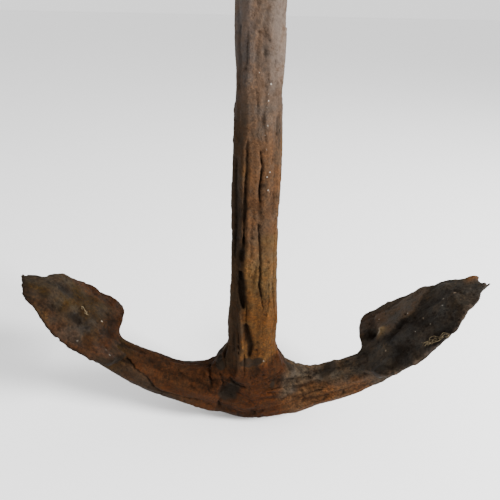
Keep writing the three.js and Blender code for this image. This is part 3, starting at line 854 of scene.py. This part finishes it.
def bolt(x, y, z):
    around = np.hypot(y, z - BOLT_Z)
    head = smooth_max(around - HEAD_RADIUS, np.abs(x + EYE_FACE + 1 + HEAD_HALF) - HEAD_HALF, 2.0)
    flats = np.abs(y) - 11.5
    shaft = smooth_max(around - BOLT_RADIUS, np.abs(x - 11) - 52, 2.0)
    slot = np.maximum(np.abs(x - FORELOCK_X) - 5.8, np.abs(y) - 2.3)
    return np.maximum(smooth_min(smooth_max(head, flats, 1.0), shaft, 0.6), -slot)


def washer(x, y, z):
    around = np.hypot(y, z - BOLT_Z)
    body = smooth_max(around - 15, np.abs(x - 39.8) - 1.5, 0.8)
    return np.maximum(body, BOLT_HOLE - around)


def forelock(x, y, z):
    x, z = x - FORELOCK_X, z - BOLT_Z
    half = np.interp(z, [-24, 9, 20], [3.5, 5.5, 5.5])
    shaft = np.maximum(np.maximum(np.abs(x) - half, -24 - z), z - 20)
    lip = np.maximum(np.abs(x - 5) - 5.5, np.abs(z - 12) - 3)
    return smooth_max(smooth_min(shaft, lip, 1.5), np.abs(y) - 2, 0.8)


def make_simple(name, base, relief, low, high, voxel):
    points, quads = mesh_field([fill(base, relief, low, high, voxel)], voxel)
    return build_object(name, roughen(points, quads, (0.08, 1.7 * voxel, 95)), quads)


# ---------------------------------------------------------------- material
def shade_tree(name):
    """An empty material, and a function that adds a node to it with settings and inputs set or linked."""
    material = bpy.data.materials.new(name)
    material.use_nodes = True
    nodes, links = material.node_tree.nodes, material.node_tree.links
    nodes.clear()

    def add(kind, **settings):
        node = nodes.new(kind)
        inputs = settings.pop("inputs", {})
        for key, value in settings.items():
            setattr(node, key, value)
        for key, value in inputs.items():
            if hasattr(value, "is_output"):
                links.new(value, node.inputs[key])
            else:
                node.inputs[key].default_value = (*value, 1) if isinstance(value, tuple) else value
        return node

    return material, add


# Factors that multiply the colour. Specular tint of the rust, which darkens it towards brown in soft light.
WARM, COOL = (1.12, 0.98, 0.84), (0.92, 1.0, 1.08)
DARK, LIGHT = (0.36, 0.33, 0.31), (1.74, 1.74, 1.7)
BRIGHT_GRAIN, DARK_GRAIN = (2.0, 1.7, 1.3), (0.4, 0.36, 0.34)
SPECULAR_TINT = (1.0, 0.72, 0.5)
# SPARK_COLOUR and BEAD_COLOUR are the pale colours of painted glints: sparks anywhere, beads along the
# shank's ridge.
SPARK_COLOUR, BEAD_COLOUR = (0.34, 0.31, 0.27), (0.3, 0.27, 0.23)
SPARK_CELL, BEAD_CELL = 13.0, 3.0  # mm


def rust_material(name, scale_colour, dust_colour):
    """Rusted iron. Each piece carries attributes that say what its surface is like from place to place."""
    material, add = shade_tree(name)
    place = add("ShaderNodeTexCoord").outputs["Object"]

    def attribute(key, output="Fac"):
        return add("ShaderNodeAttribute", attribute_name=key).outputs[output]

    def fine_noise(size_mm, detail=3.0, rough=0.6):
        inputs = {"Vector": place, "Scale": 1000 / size_mm, "Detail": detail, "Roughness": rough}
        return add("ShaderNodeTexNoise", inputs=inputs).outputs["Fac"]

    def calc(operation, a, b, clamp=False):
        return add("ShaderNodeMath", operation=operation, use_clamp=clamp, inputs={0: a, 1: b}).outputs[0]

    def plus(a, b, clamp=False):
        return calc("ADD", a, b, clamp)

    def product(a, b, clamp=False):
        return calc("MULTIPLY", a, b, clamp)

    def remap(value, low, high, to_low=0.0, to_high=1.0):
        inputs = {"Value": value, "From Min": low, "From Max": high, "To Min": to_low, "To Max": to_high}
        return add("ShaderNodeMapRange", inputs=inputs).outputs["Result"]

    def blend(factor, a, b, kind="MIX"):
        inputs = {0: factor, 6: a, 7: b}
        return add("ShaderNodeMix", data_type="RGBA", blend_type=kind, inputs=inputs).outputs[2]

    def times(a, b, share=1.0):
        return blend(share, a, b, "MULTIPLY")

    def cells(size_mm, channel):
        node = add("ShaderNodeTexVoronoi", inputs={"Vector": place, "Scale": 1000 / size_mm})
        pick = add("ShaderNodeSeparateColor", inputs={"Color": node.outputs["Color"]}).outputs[channel]
        return node.outputs["Distance"], pick

    coarse, medium, grain = fine_noise(8.0), fine_noise(3.4, 4.0, 0.7), fine_noise(1.7, 2.0)
    relief, mottle = attribute("relief"), attribute("mottle")
    hue = remap(fine_noise(13.0, 2.0), 0.38, 0.62)
    colour = times(attribute("tint", "Color"), blend(hue, WARM, COOL))

    tone = plus(product(attribute("streak"), 0.3), product(coarse, 0.35))
    # The relief term makes raised places lighter and low places darker: painted light and shade.
    tone = plus(plus(tone, product(medium, 0.85)), product(relief, 0.09))
    spread = product(calc("SUBTRACT", remap(tone, 0.45, 1.05), 0.5), mottle)
    colour = times(colour, blend(plus(spread, 0.5, True), DARK, LIGHT))
    bright_share = product(attribute("ochre"), remap(plus(medium, grain), 1.02, 1.3))
    colour = times(colour, BRIGHT_GRAIN, bright_share)
    colour = times(colour, DARK_GRAIN, product(remap(grain, 0.4, 0.3), mottle, True))

    # Painted glints: sparse pale sparks laid into the colour everywhere.
    distance, pick = cells(SPARK_CELL, "Red")
    spark = product(remap(distance, 0.06, 0.035), remap(pick, 0.8, 0.88))
    colour = blend(product(spark, 0.7), colour, SPARK_COLOUR)
    # Painted glints: pale beads where the glint attribute is high.
    distance, pick = cells(BEAD_CELL, "Green")
    bead = product(remap(distance, 0.36, 0.22), remap(pick, 0.35, 0.5))
    colour = blend(product(bead, remap(attribute("glint"), 0.35, 0.75), True), colour, BEAD_COLOUR)

    ragged = product(calc("SUBTRACT", medium, 0.5), 0.9)
    scale = remap(plus(attribute("scale"), ragged), 0.4, 0.62)
    colour = blend(product(scale, 0.88), colour, scale_colour)
    dusty = product(attribute("dust"), remap(plus(coarse, medium), 0.6, 1.05))
    colour = blend(dusty, colour, dust_colour)
    # Painted shade: the colour darkens in hollows, the deeper the relief the darker.
    colour = times(colour, remap(relief, -3.2, -0.6, 0.2, 1.0))

    height = plus(product(medium, 1.2), product(grain, 0.8))
    lumps = add("ShaderNodeBump", inputs={"Strength": 0.75, "Distance": 0.0006, "Height": height})
    surface = {
        "Base Color": colour,
        "Normal": lumps.outputs["Normal"],
        "Roughness": remap(medium, 0.3, 0.7, 0.72, 0.95),
        "Specular IOR Level": 0.1,
        "Specular Tint": SPECULAR_TINT,
    }
    finish_material(add, surface)
    return material


def finish_material(add, inputs):
    surface = add("ShaderNodeBsdfPrincipled", inputs=inputs)
    add("ShaderNodeOutputMaterial", inputs={"Surface": surface.outputs["BSDF"]})


# Colours of the iron, as reflectance.
# Dark brown laid mostly as painted shade: on the shank's left facets (partly a real darker brown there), in
# the crown's left hollow, under the left arm's layer and under the left palm's root.
DARK_BROWN_AND_SHADE = (0.0125, 0.0085, 0.0056)
ROSE_BROWN = (0.0345, 0.0232, 0.0165)
GREY_BROWN = (0.0465, 0.038, 0.035)
ORANGE_BROWN = (0.0365, 0.0202, 0.0112)
OCHRE = (0.0445, 0.0245, 0.0093)
GOLD = (0.041, 0.0178, 0.0049)
RUSSET = (0.0385, 0.018, 0.0074)
RED_BROWN = (0.0168, 0.0058, 0.0019)
UMBER = (0.0142, 0.0054, 0.0021)
SCALE_BLACK = (0.0225, 0.0165, 0.0112)
OLIVE = (0.0107, 0.0062, 0.002)
SLATE = (0.0165, 0.0145, 0.0122)
PINK = (0.045, 0.03, 0.022)
BLUE_BLACK = (0.009, 0.0083, 0.0078)
DRAB = (0.0215, 0.0165, 0.012)
# SHADE is the colour of painted shade on the left palm's front rim and inner edge.
SHADE = (0.0055, 0.0038, 0.0026)
PALE = (0.2, 0.18, 0.15)
BUFF = (0.07, 0.043, 0.018)
ROOT_DARK = (0.04, 0.026, 0.012)
ROOT_LIGHT = (0.15, 0.115, 0.062)


class Tint:
    """A colour for each vertex, laid on zone by zone."""

    def __init__(self, count, colour):
        self.rgb = np.tile(np.array(colour, np.float32), (count, 1))

    def lay(self, colour, mask):
        self.rgb = mix(self.rgb, np.array(colour, np.float32), np.clip(mask, 0, 1)[:, None])

    def store(self, obj, relief, streak, ochre, scale, dust, mottle, glint=0.0):
        """Gives a mesh what rust_material reads: colour, relief, grain, shares of each kind of rust, and
        where painted glints go.
        """
        rgba = np.ones((len(self.rgb), 4), np.float32)
        rgba[:, :3] = self.rgb
        obj.data.attributes.new("tint", "FLOAT_COLOR", "POINT").data.foreach_set("color", rgba.ravel())
        shares = {"ochre": ochre, "scale": scale, "dust": dust, "glint": glint}
        values = {name: np.clip(share, 0, 1) for name, share in shares.items()}
        for name, value in {**values, "relief": relief, "streak": streak, "mottle": mottle}.items():
            full = np.full(len(self.rgb), value, np.float32)
            obj.data.attributes.new(name, "FLOAT", "POINT").data.foreach_set("value", full)


def plain_surface(obj, relief, seed):
    """The look of a piece that rusts evenly."""
    p = local_points(obj)
    tint = Tint(len(p), ROSE_BROWN)
    tint.lay(ORANGE_BROWN, ease(-0.25, 0.3, noise(p, 28.0, seed + 4)))
    tint.lay(UMBER, ease(-0.1, 0.5, noise(p, 20.0, seed + 5)))
    tint.store(
        obj,
        relief=relief(p),
        streak=0.5 + 0.5 * noise(p, (9, 30, 30), seed),
        ochre=0.55 + 0.5 * noise(p, 22.0, seed + 1),
        scale=0.15 + 0.45 * noise(p, 17.0, seed + 2),
        dust=0.15 + 0.2 * noise(p, 26.0, seed + 3),
        mottle=1.0,
    )


# Black scale on the front of the forging: (x, z), radius, amount.
SCALE_SPOTS = [
    ((-5, 99), 7, 1.5),
    ((10, 101), 7.5, 1.5),
    ((-38, 89), 6.5, 1.3),
    ((-29, 50), 12, 1.2),
    ((-20, 66), 7, 0.7),
    ((24, 68), 5, 0.7),
    ((45, 88), 13, 1.3),
    ((88, 80), 13, 1.3),
]
# Pale specks on the crown and the left arm, painted in as glints.
CROWN_GLINT_SPECKS, SPECK_RADIUS = [(-89, 83), (-48, 89), (13, 103)], 1.1  # pale, (x, z)


def forging_surface(obj):
    """The look of the shank, the crown and the arms, zone by zone."""
    p = local_points(obj)
    x, y, z = p.T
    along, height = arm_place(x, z)
    share = shank_share(x, z)
    signed = np.where(x < 0, -along - 60, along)
    up, out = stack(z, x, y), stack(signed, height, y)
    up = noise(up, (90, 4, 4), 301) + 0.6 * noise(up, (40, 2, 2), 302)
    out = noise(out, (90, 5, 5), 303) + 0.6 * noise(out, (40, 2.4, 2.4), 304)
    streak = mix(out, up, share)
    wide, narrow = noise(p, 36.0, 305), noise(p, 15.0, 306)
    ragged = 10 * wide + 6 * narrow
    on_shank = ease(86, 104, z - 0.25 * x + 0.7 * ragged) * (1 - ease(30, 44, np.abs(x)))

    tint = Tint(len(p), RED_BROWN)
    # Painted shade in the hollow corner left of the shank, above the left arm, on the side away from the
    # light.
    corner = ease(76, 96, z + 0.6 * ragged) * ease(-22, -30, x) * (1 - ease(48, 66, -x + ragged))
    tint.lay(DARK_BROWN_AND_SHADE, 0.7 * corner)
    arms = (1 - on_shank) * ease(24, 62, np.abs(x) + ragged)
    tint.lay(UMBER, arms * ease(12, 30, height + 0.5 * ragged) * (x < 0))
    top_band = ease(36, 47, height + 0.6 * ragged + 0.05 * along) * (x > 0)
    tint.lay(RUSSET, arms * (x > 0) * (1 - top_band))
    tint.lay(SCALE_BLACK, ease(30, 46, x + 0.6 * ragged) * top_band * (1 - on_shank))
    # Painted shade on the left arm's front below the edge of its layer, where the lower face is shaded.
    under = ease(1.0, -1.5, layer_gap(along, height, p)) * ease(60, 90, along) * (x < 0) * (y < 0)
    tint.lay(DARK_BROWN_AND_SHADE, 0.75 * under)
    tint.lay(OLIVE, ease(150, 200, along) * (z < 260) * (x < 0))
    tint.lay(SLATE, ease(120, 170, along) * (z < 260) * (x > 0))
    tint.lay(PINK, ease(ARM_LENGTH - 24, ARM_LENGTH, along) * 0.35)
    shank = Tint(len(p), GOLD)
    shank.lay(OCHRE, ease(150, 205, z + ragged))
    shank.lay(ORANGE_BROWN, ease(215, 260, z + ragged) * ease(-0.9, -0.2, wide))
    shank.lay(ROSE_BROWN, ease(325, 385, z + 2 * ragged))
    shank.lay(GREY_BROWN, ease(360, 450, z) * (1 - ease(-14, 2, x)) * (y < 6))
    upper = ease(435, 540, z + 25 * wide)
    shank.lay(ROSE_BROWN, 0.85 * upper)
    shank.lay(ORANGE_BROWN, upper * ease(-0.25, 0.3, noise(p, 30.0, 308)))
    shank.lay(UMBER, upper * ease(-0.1, 0.5, noise(p, 21.0, 309)))
    # Painted shade: the shank's left facets are darkened, partly for their darker brown and partly for the
    # shade on that side.
    shaded_left_side = 1 - ease(-13.5, -8.5, x + 1.4 * streak + 2 * narrow)
    shank.lay(DARK_BROWN_AND_SHADE, 0.8 * shaded_left_side * (1 - ease(335, 410, z)) * (y < 10))
    tint.rgb = mix(tint.rgb, shank.rgb, on_shank[:, None])
    for speck_x, speck_z in CROWN_GLINT_SPECKS:
        tint.lay(PALE, 0.45 * (np.hypot(x - speck_x, z - speck_z) < SPECK_RADIUS) * (y < 0))

    ochre = 0.35 + 0.3 * wide + 0.25 * on_shank * (1 - ease(200, 260, z))
    scale = 0.25 * noise(p, 19.0, 307)
    for centre, radius, amount in SCALE_SPOTS:
        off = np.hypot(x + 5 * wide - centre[0], z + 3 * narrow - centre[1]) / radius
        scale += amount * (0.8 + 0.7 * narrow) * np.exp(-(off**2)) * (y < 8)
    dust = 0.7 * ease(350, 430, z + 25 * wide) * (0.15 + 0.85 * ease(-4, 18, x)) * on_shank
    dust = mix(dust, 0.12 + 0.2 * narrow, upper * on_shank)
    # Painted glints: broken stretches along the pale ridge, read by the shader as pale beads.
    grains = along_line(p, PALE_RIDGE, 2.2, 1.0) * ease(-0.4, 0.3, noise(stack(z, z * 0, z * 0), 13.0, 311))
    tint.store(
        obj,
        relief=forging_relief(p),
        streak=0.5 + 0.42 * streak,
        # less bright grain on the painted shade of the shank's left facets
        ochre=ochre * (1 - 0.8 * shaded_left_side * on_shank),
        scale=scale + upper * (0.15 + 0.3 * narrow),
        dust=dust + 0.12 * top_band * ease(30, 60, x) * ease(0.1, 0.5, narrow) * (z < 260),
        mottle=1.3 - on_shank * (0.65 + 0.25 * ease(300, 380, z) - 0.6 * upper),
        glint=grains,
    )


# Pale specks painted on the palms as glints: distance from the tip, Y.
PALM_GLINT_SPECKS = {
    1: [(21, 3), (35, 6), (72, 1.5), (68, -12), (40, -2), (136, -12)],
    -1: [(86, -37), (101, 7), (131, -30), (125, -22)],
}
PALM_SPECK_RADIUS = 1.15
OCHRE_SPOT, OCHRE_SPOT_REACH = (30, -39), (14, 6)  # on the left palm
# The first spot is painted shadow under the right palm's near shoulder, where it meets the arm.
PAINTED_SHADOW_SPOT, PAINTED_SHADOW_REACH = (160, -28), (12, 12)  # on the right palm, like the next two
PALE_SPOT, PALE_SPOT_REACH = (134, 20), (4, 3)
DUSTY_SPOT, DUSTY_SPOT_REACH = (112, 27), (12, 8)


def palm_surface(obj, palm, side):
    """The look of a palm: SLATE and drab layers on the right, browns with dark hollows on the left."""
    relief = palm_parts(palm, side)[1]
    p = local_points(obj)
    x, y, z = p.T
    along, height = arm_place(x, z)
    from_tip = ARM_LENGTH - along
    root = ease(palm["length"] - 66, palm["length"] - 30, from_tip) * (1 - ease(30, 48, y))
    wide, narrow = noise(p, 30.0, 322 + side), noise(p, 12.0, 325 + side)
    flat = stack(from_tip, y, z * 0)
    fine = noise(p, 4.6, 335) + 0.7 * noise(p, 2.6, 336)
    gap_to_edge = sample_map(outline_map(palm), from_tip - PALM_ORIGIN[0], y - PALM_ORIGIN[1])
    # rim: the low front edge of the palm, where painted shade goes on the left palm below.
    rim = ease(3.4, 1.2, height - arm_size(along, 0)) * (y < 0) * (1 - root)
    if side < 0:
        tint = Tint(len(p), OLIVE)
        tint.lay(UMBER, 0.8 * ease(-14, -38, y + 8 * narrow))
        tint.lay(RED_BROWN, 0.8 * ease(26, 46, y + 10 * narrow))
        tint.lay(SLATE, 0.35 * ease(0.1, 0.5, wide))
        for at, reach in LEFT_HOLLOWS:
            tint.lay(BLUE_BLACK, 0.8 * bump(from_tip, y + 5 * narrow, at, reach) * (1 + 0.7 * fine))
        tint.lay(OCHRE, 0.45 * bump(from_tip, y, OCHRE_SPOT, OCHRE_SPOT_REACH) * (1 + 0.7 * fine))
        tint.lay(UMBER, root)
        # Painted shadow on the front of the palm's root, under its near shoulder, where it sits low on the
        # arm.
        tint.lay(DARK_BROWN_AND_SHADE, 0.6 * ease(2.0, -1.0, height - arm_size(along, 0)) * root * (y < 0))
        # Painted shade along the left palm's front rim and along its inner edge near the root, so these edges
        # don't catch the light; scale, dust and bright grain are taken out there too.
        shaded_inner_edge = ease(-5.0, -1.5, gap_to_edge) * ease(104, 122, from_tip) * (y < 0)
        dark = np.maximum(0.85 * rim, shaded_inner_edge)
        tint.lay(SHADE, dark)
        ochre = 0.4 + 0.4 * narrow
        scale = 0.12 + 0.22 * noise(p, 20.0, 330) + 0.12 * fine
        dust = 0.05 + 0.2 * noise(p, 16.0, 331)
        ochre, scale, dust = (value * (1 - dark) for value in (ochre, scale, dust))
    else:
        layer, gap = right_layer(flat, from_tip, y)
        tint = Tint(len(p), SLATE)
        tint.lay(OLIVE, 0.5 * ease(-0.1, 0.4, wide))
        # Painted shade on the right palm's near half, below the raised layer.
        tint.lay(BLUE_BLACK, 0.6 * ease(36, 60, from_tip) * ease(14, 4, y) * (1 - ease(120, 140, from_tip)))
        tint.lay(DRAB, ease(26, 40, y + 8 * narrow) * ease(20, 50, from_tip))
        shadow = ease(-24, -12, gap) * ease(1, -1, gap)
        shadow *= ease(50, 66, from_tip) * (1 - ease(146, 156, from_tip))
        tint.lay(BLUE_BLACK, (0.75 + 0.3 * fine) * shadow)
        # Painted shadow under the near shoulder; the pit is darkened too.
        tint.lay(BLUE_BLACK, bump(from_tip, y, PAINTED_SHADOW_SPOT, PAINTED_SHADOW_REACH) + bump(from_tip, y, PIT, (9, 6)))
        tint.lay(UMBER, 0.5 * ease(104, 128, from_tip) * ease(24, 40, y + 8 * narrow))
        tint.lay(ROSE_BROWN, (0.3 + 0.25 * fine) * layer)
        tint.lay(BUFF, bump(from_tip, y, NUB, NUB_REACH))
        tint.lay(PALE, 0.35 * bump(from_tip, y, PALE_SPOT, PALE_SPOT_REACH))
        tint.lay(GOLD, bump(from_tip, y, TIP_NUB, (6, 6)))
        # Painted highlight: a pink strip along the right palm's near edge, where it faces the light.
        edge = y + np.interp(from_tip, *zip(*palm["front"]))
        tint.lay(PINK, 0.4 * ease(4.5, 1, edge + 2 * narrow) * ease(-0.2, 0.5, fine))
        ochre = 0.2 + 0.4 * narrow
        scale = 0.25 + 0.25 * noise(p, 22.0, 332) + 0.12 * fine
        dust = 0.1 + 0.25 * noise(p, 14.0, 333)
        dust += 0.7 * bump(from_tip, y + 4 * narrow, DUSTY_SPOT, DUSTY_SPOT_REACH) * layer
    for at in PALM_GLINT_SPECKS[side]:
        tint.lay(PALE, 0.5 * (np.hypot(from_tip - at[0], y - at[1]) < PALM_SPECK_RADIUS))
    streak = 0.5 + 0.45 * noise(flat, (24, 8, 8), 321)
    tint.store(obj, relief(p), streak, ochre, scale, dust, mottle=1.5)


PALM_LEAN, PALM_RISE = -0.35, 0.94  # direction away from a palm's upper face


def palm_places(palm, side, places, lifts):
    """Points that lie at heights above a palm's upper face, at given (distance from the tip, Y) places."""
    p = local_points(palm)
    along, height = arm_place(p[:, 0], p[:, 2])
    upper = height - arm_size(along, 0) > 1.5
    p, from_tip = p[upper], ARM_LENGTH - along[upper]
    found = []
    for (at, y), lift in zip(places, lifts):
        nearest = np.argmin((from_tip - at) ** 2 + (p[:, 1] - y) ** 2)
        found.append(p[nearest] + np.array([PALM_LEAN * side, 0, PALM_RISE]) * lift)
    return np.array(found)


def tube(points, radii, sides=6):
    """Vertices and quads of a thin closed tube through points."""
    run = np.gradient(points, axis=0)
    run /= np.linalg.norm(run, axis=1, keepdims=True)
    across = np.cross(run, (0.31, 0.2, 0.93))
    across /= np.linalg.norm(across, axis=1, keepdims=True)
    other = np.cross(run, across)
    turn = np.arange(sides) * 2 * np.pi / sides
    ring = np.cos(turn)[None, :, None] * across[:, None] + np.sin(turn)[None, :, None] * other[:, None]
    places = (points[:, None] + ring * np.asarray(radii)[:, None, None]).reshape(-1, 3)
    quads = []
    for i in range(len(points) - 1):
        for j in range(sides):
            k = (j + 1) % sides
            quads.append((i * sides + j, i * sides + k, (i + 1) * sides + k, (i + 1) * sides + j))
    places = np.vstack([places, points[0], points[-1]])
    first, last = len(places) - 2, len(places) - 1
    end = (len(points) - 1) * sides
    for j in range(0, sides, 2):
        k, m = (j + 1) % sides, (j + 2) % sides
        quads.append((first, m, k, j))
        quads.append((last, end + j, end + k, end + m))
    return places, np.array(quads)


def smooth_line(line):
    for _ in range(2):
        line[1:-1] = (line[:-2] + 2 * line[1:-1] + line[2:]) / 4
    return line


ROOT_STEPS = 24  # points along each strand


def make_roots(name, palm, side, route, number, spread, thick):
    """Dry grass roots caught on a palm: thin tangled strands along a route of (distance from tip, Y)."""
    random = np.random.RandomState(500 + side)
    route = np.array(route, float)
    all_points, all_quads, count = [], [], 0
    for _ in range(number):
        start, stop = np.sort(random.uniform(0, len(route) - 1, 2))
        stop = min(len(route) - 1.0, max(stop, start + 1.5))
        t = np.linspace(start, stop, ROOT_STEPS)
        wave = smooth_line(np.cumsum(random.normal(size=(ROOT_STEPS, 3)), axis=0))
        wave -= np.linspace(0, 1, ROOT_STEPS)[:, None] * wave[-1]
        shift = random.normal(size=2) * spread * 0.4
        from_tip = np.interp(t, range(len(route)), route[:, 0]) + 0.3 * spread * wave[:, 0] + shift[0]
        y = np.interp(t, range(len(route)), route[:, 1]) + 0.3 * spread * wave[:, 1] + shift[1]
        lifts = 0.4 + 0.6 * np.abs(wave[:, 2])
        line = smooth_line(palm_places(palm, side, np.column_stack([from_tip, y]), lifts))
        points, quads = tube(line, thick * np.sin(np.linspace(0.35, np.pi - 0.25, ROOT_STEPS)) ** 0.5)
        all_points.append(points)
        all_quads.append(quads + count)
        count += len(points)
    return build_object(name, np.concatenate(all_points), np.concatenate(all_quads))


def root_material():
    material, add = shade_tree("dry_roots")
    place = add("ShaderNodeTexCoord").outputs["Object"]
    blotch = add("ShaderNodeTexNoise", inputs={"Vector": place, "Scale": 260.0, "Detail": 3.0}).outputs["Fac"]
    ramp = add("ShaderNodeValToRGB", inputs={"Fac": blotch})
    for element, position, colour in zip(ramp.color_ramp.elements, (0.35, 0.65), (ROOT_DARK, ROOT_LIGHT)):
        element.position = position
        element.color = (*colour, 1)
    lumps = add("ShaderNodeBump", inputs={"Strength": 0.5, "Distance": 0.0002, "Height": blotch})
    surface = {
        "Base Color": ramp.outputs["Color"],
        "Roughness": 0.8,
        "Normal": lumps.outputs["Normal"],
        "Specular IOR Level": 0.2,
    }
    finish_material(add, surface)
    return material


def dress(obj, body, nodes, material):
    """Gives a piece its material and body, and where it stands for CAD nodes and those."""
    obj.data.materials.append(material)
    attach(obj, body)
    if nodes:
        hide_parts(*nodes)


# Colours of the black scale and of the dust on each kind of piece.
FORGED = rust_material("forged_rust", (0.0066, 0.0052, 0.0038), (0.09, 0.07, 0.058))
PALM = rust_material("palm_rust", (0.0085, 0.0075, 0.0065), (0.036, 0.031, 0.026))
IRON = rust_material("iron_rust", (0.0095, 0.0088, 0.0085), (0.07, 0.052, 0.043))

for node, obj in make_forging().items():
    forging_surface(obj)
    dress(obj, "anchor", [node], FORGED)
PALM_OBJECTS = {}
for node, palm, side in (("left_palm", LEFT_PALM, -1), ("right_palm", RIGHT_PALM, 1)):
    obj = make_palm(node + "_forged", palm, side)
    PALM_OBJECTS[side] = obj
    palm_surface(obj, palm, side)
    dress(obj, "anchor", [node], PALM)

ROOTS = root_material()
RIGHT_ROUTE = [(92, -30), (84, -33), (76, -32), (69, -33), (63, -35), (56, -40)]
LEFT_ROUTE = [(64, 5), (69, 2), (75, 3), (78, -1), (83, 2)]
for name, palm, side, route, number, spread, thick in (
    ("right_palm_roots", PALM_OBJECTS[1], 1, RIGHT_ROUTE, 9, 3.6, 0.36),
    ("left_palm_roots", PALM_OBJECTS[-1], -1, LEFT_ROUTE, 3, 2.2, 0.34),
):
    dress(make_roots(name, palm, side, route, number, spread, thick), "anchor", [], ROOTS)

BENT_BALL = (0, -BENT_REACH, STOCK_Z - STOCK_LEG)
STRAIGHT_BALL = (0, STRAIGHT_REACH, STOCK_Z)


def box(centre):
    reach = BALL_RADIUS + 4
    return [c - reach for c in centre], [c + reach for c in centre]


# CAD node, body, slot, field, relief, the box that holds the piece, voxel.
SIMPLE = [
    ("stock_bar", "stock", "stock", bar_with_slot, bar_relief, (-18, -340, 594), (18, 378, 718), 1.2),
    ("stock_ball_straight_end", "stock", "stock", ball(STRAIGHT_BALL), ball_relief, *box(STRAIGHT_BALL), 1.1),
    ("stock_ball_bent_end", "stock", "stock", ball(BENT_BALL), ball_relief, *box(BENT_BALL), 1.1),
    ("stock_shoulder", "stock", "stock", shoulder, small_relief, (-25, 20, 676), (25, 40, 724), 0.8),
    ("stock_key", "key", "stock", key, small_relief, (-6, -47, 660), (6, -21, 744), 0.6),
    ("shackle_bow", "shackle", "shackle", bow, bow_relief, (-42, -20, 756), (42, 20, 870), 0.8),
    ("shackle_bolt", "bolt", "shackle", bolt, rubbed_relief, (-51, -17, 759), (66, 17, 793), 0.7),
    ("bolt_washer", "bolt", "shackle", washer, rubbed_relief, (36, -18, 758), (44, 18, 794), 0.5),
    ("bolt_forelock", "forelock", "shackle", forelock, small_relief, (38, -5, 749), (61, 5, 799), 0.5),
]
for seed, (node, body, slot, base, relief, low, high, voxel) in enumerate(SIMPLE):
    obj = make_simple(node + "_forged", base, relief, low, high, voxel)
    plain_surface(obj, relief, 400 + 10 * seed)
    dress(obj, body, [node], IRON)

# ---------------------------------------------------------------- stage, light and camera
FLOOR_HALF = 60.0  # m
FLOOR_DROP = 2.5  # below the crown's foot, mm
level = (FOOT - FLOOR_DROP) * MM
corners = [(x * FLOOR_HALF, y * FLOOR_HALF, level) for x, y in ((-1, -1), (1, -1), (1, 1), (-1, 1))]
floor_mesh = bpy.data.meshes.new("floor")
floor_mesh.from_pydata(corners, [], [(0, 1, 2, 3)])
floor = link(bpy.data.objects.new("floor", floor_mesh))
floor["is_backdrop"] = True
pale, add = shade_tree("pale_floor")
finish_material(add, {"Base Color": (0.92, 0.92, 0.92), "Roughness": 0.9})
floor_mesh.materials.append(pale)

world = bpy.data.worlds.new("world")
bpy.context.scene.world = world
world.use_nodes = True
background = world.node_tree.nodes["Background"]
background.inputs["Color"].default_value = (1, 1, 1, 1)
background.inputs["Strength"].default_value = 1.4

TARGET = Vector((0, 0, (FOOT + 120) * MM))
LIGHT_PLACE = TARGET + Vector((1.9, -0.9, 1.35))
lamp_data = bpy.data.lights.new("key", "AREA")
lamp_data.size = 0.7  # m
lamp_data.energy = 195  # W
lamp = link(bpy.data.objects.new("key", lamp_data))
lamp.location = LIGHT_PLACE
lamp.rotation_euler = (TARGET - LIGHT_PLACE).to_track_quat("-Z", "Y").to_euler()

# The camera looks along Y and down, at a place a little off the middle, rolled slightly.
ELEVATION = math.radians(28)
ROLL = math.radians(1.2)
AIM = Vector((-4.75 * MM, 0, (FOOT + 231) * MM))
DISTANCE = 0.46485
toward = Vector((0, math.cos(ELEVATION), -math.sin(ELEVATION)))
camera_data = bpy.data.cameras.new("camera")
camera_data.lens = 32.4
camera_data.sensor_width = 36
camera_data.clip_start = 0.01
camera_data.clip_end = 200
camera = link(bpy.data.objects.new("camera", camera_data))
turn = toward.to_track_quat("-Z", "Y").to_matrix().to_4x4()
camera.matrix_world = Matrix.Translation(AIM - toward * DISTANCE) @ turn @ Matrix.Rotation(ROLL, 4, "Z")
bpy.context.scene.camera = camera

low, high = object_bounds()
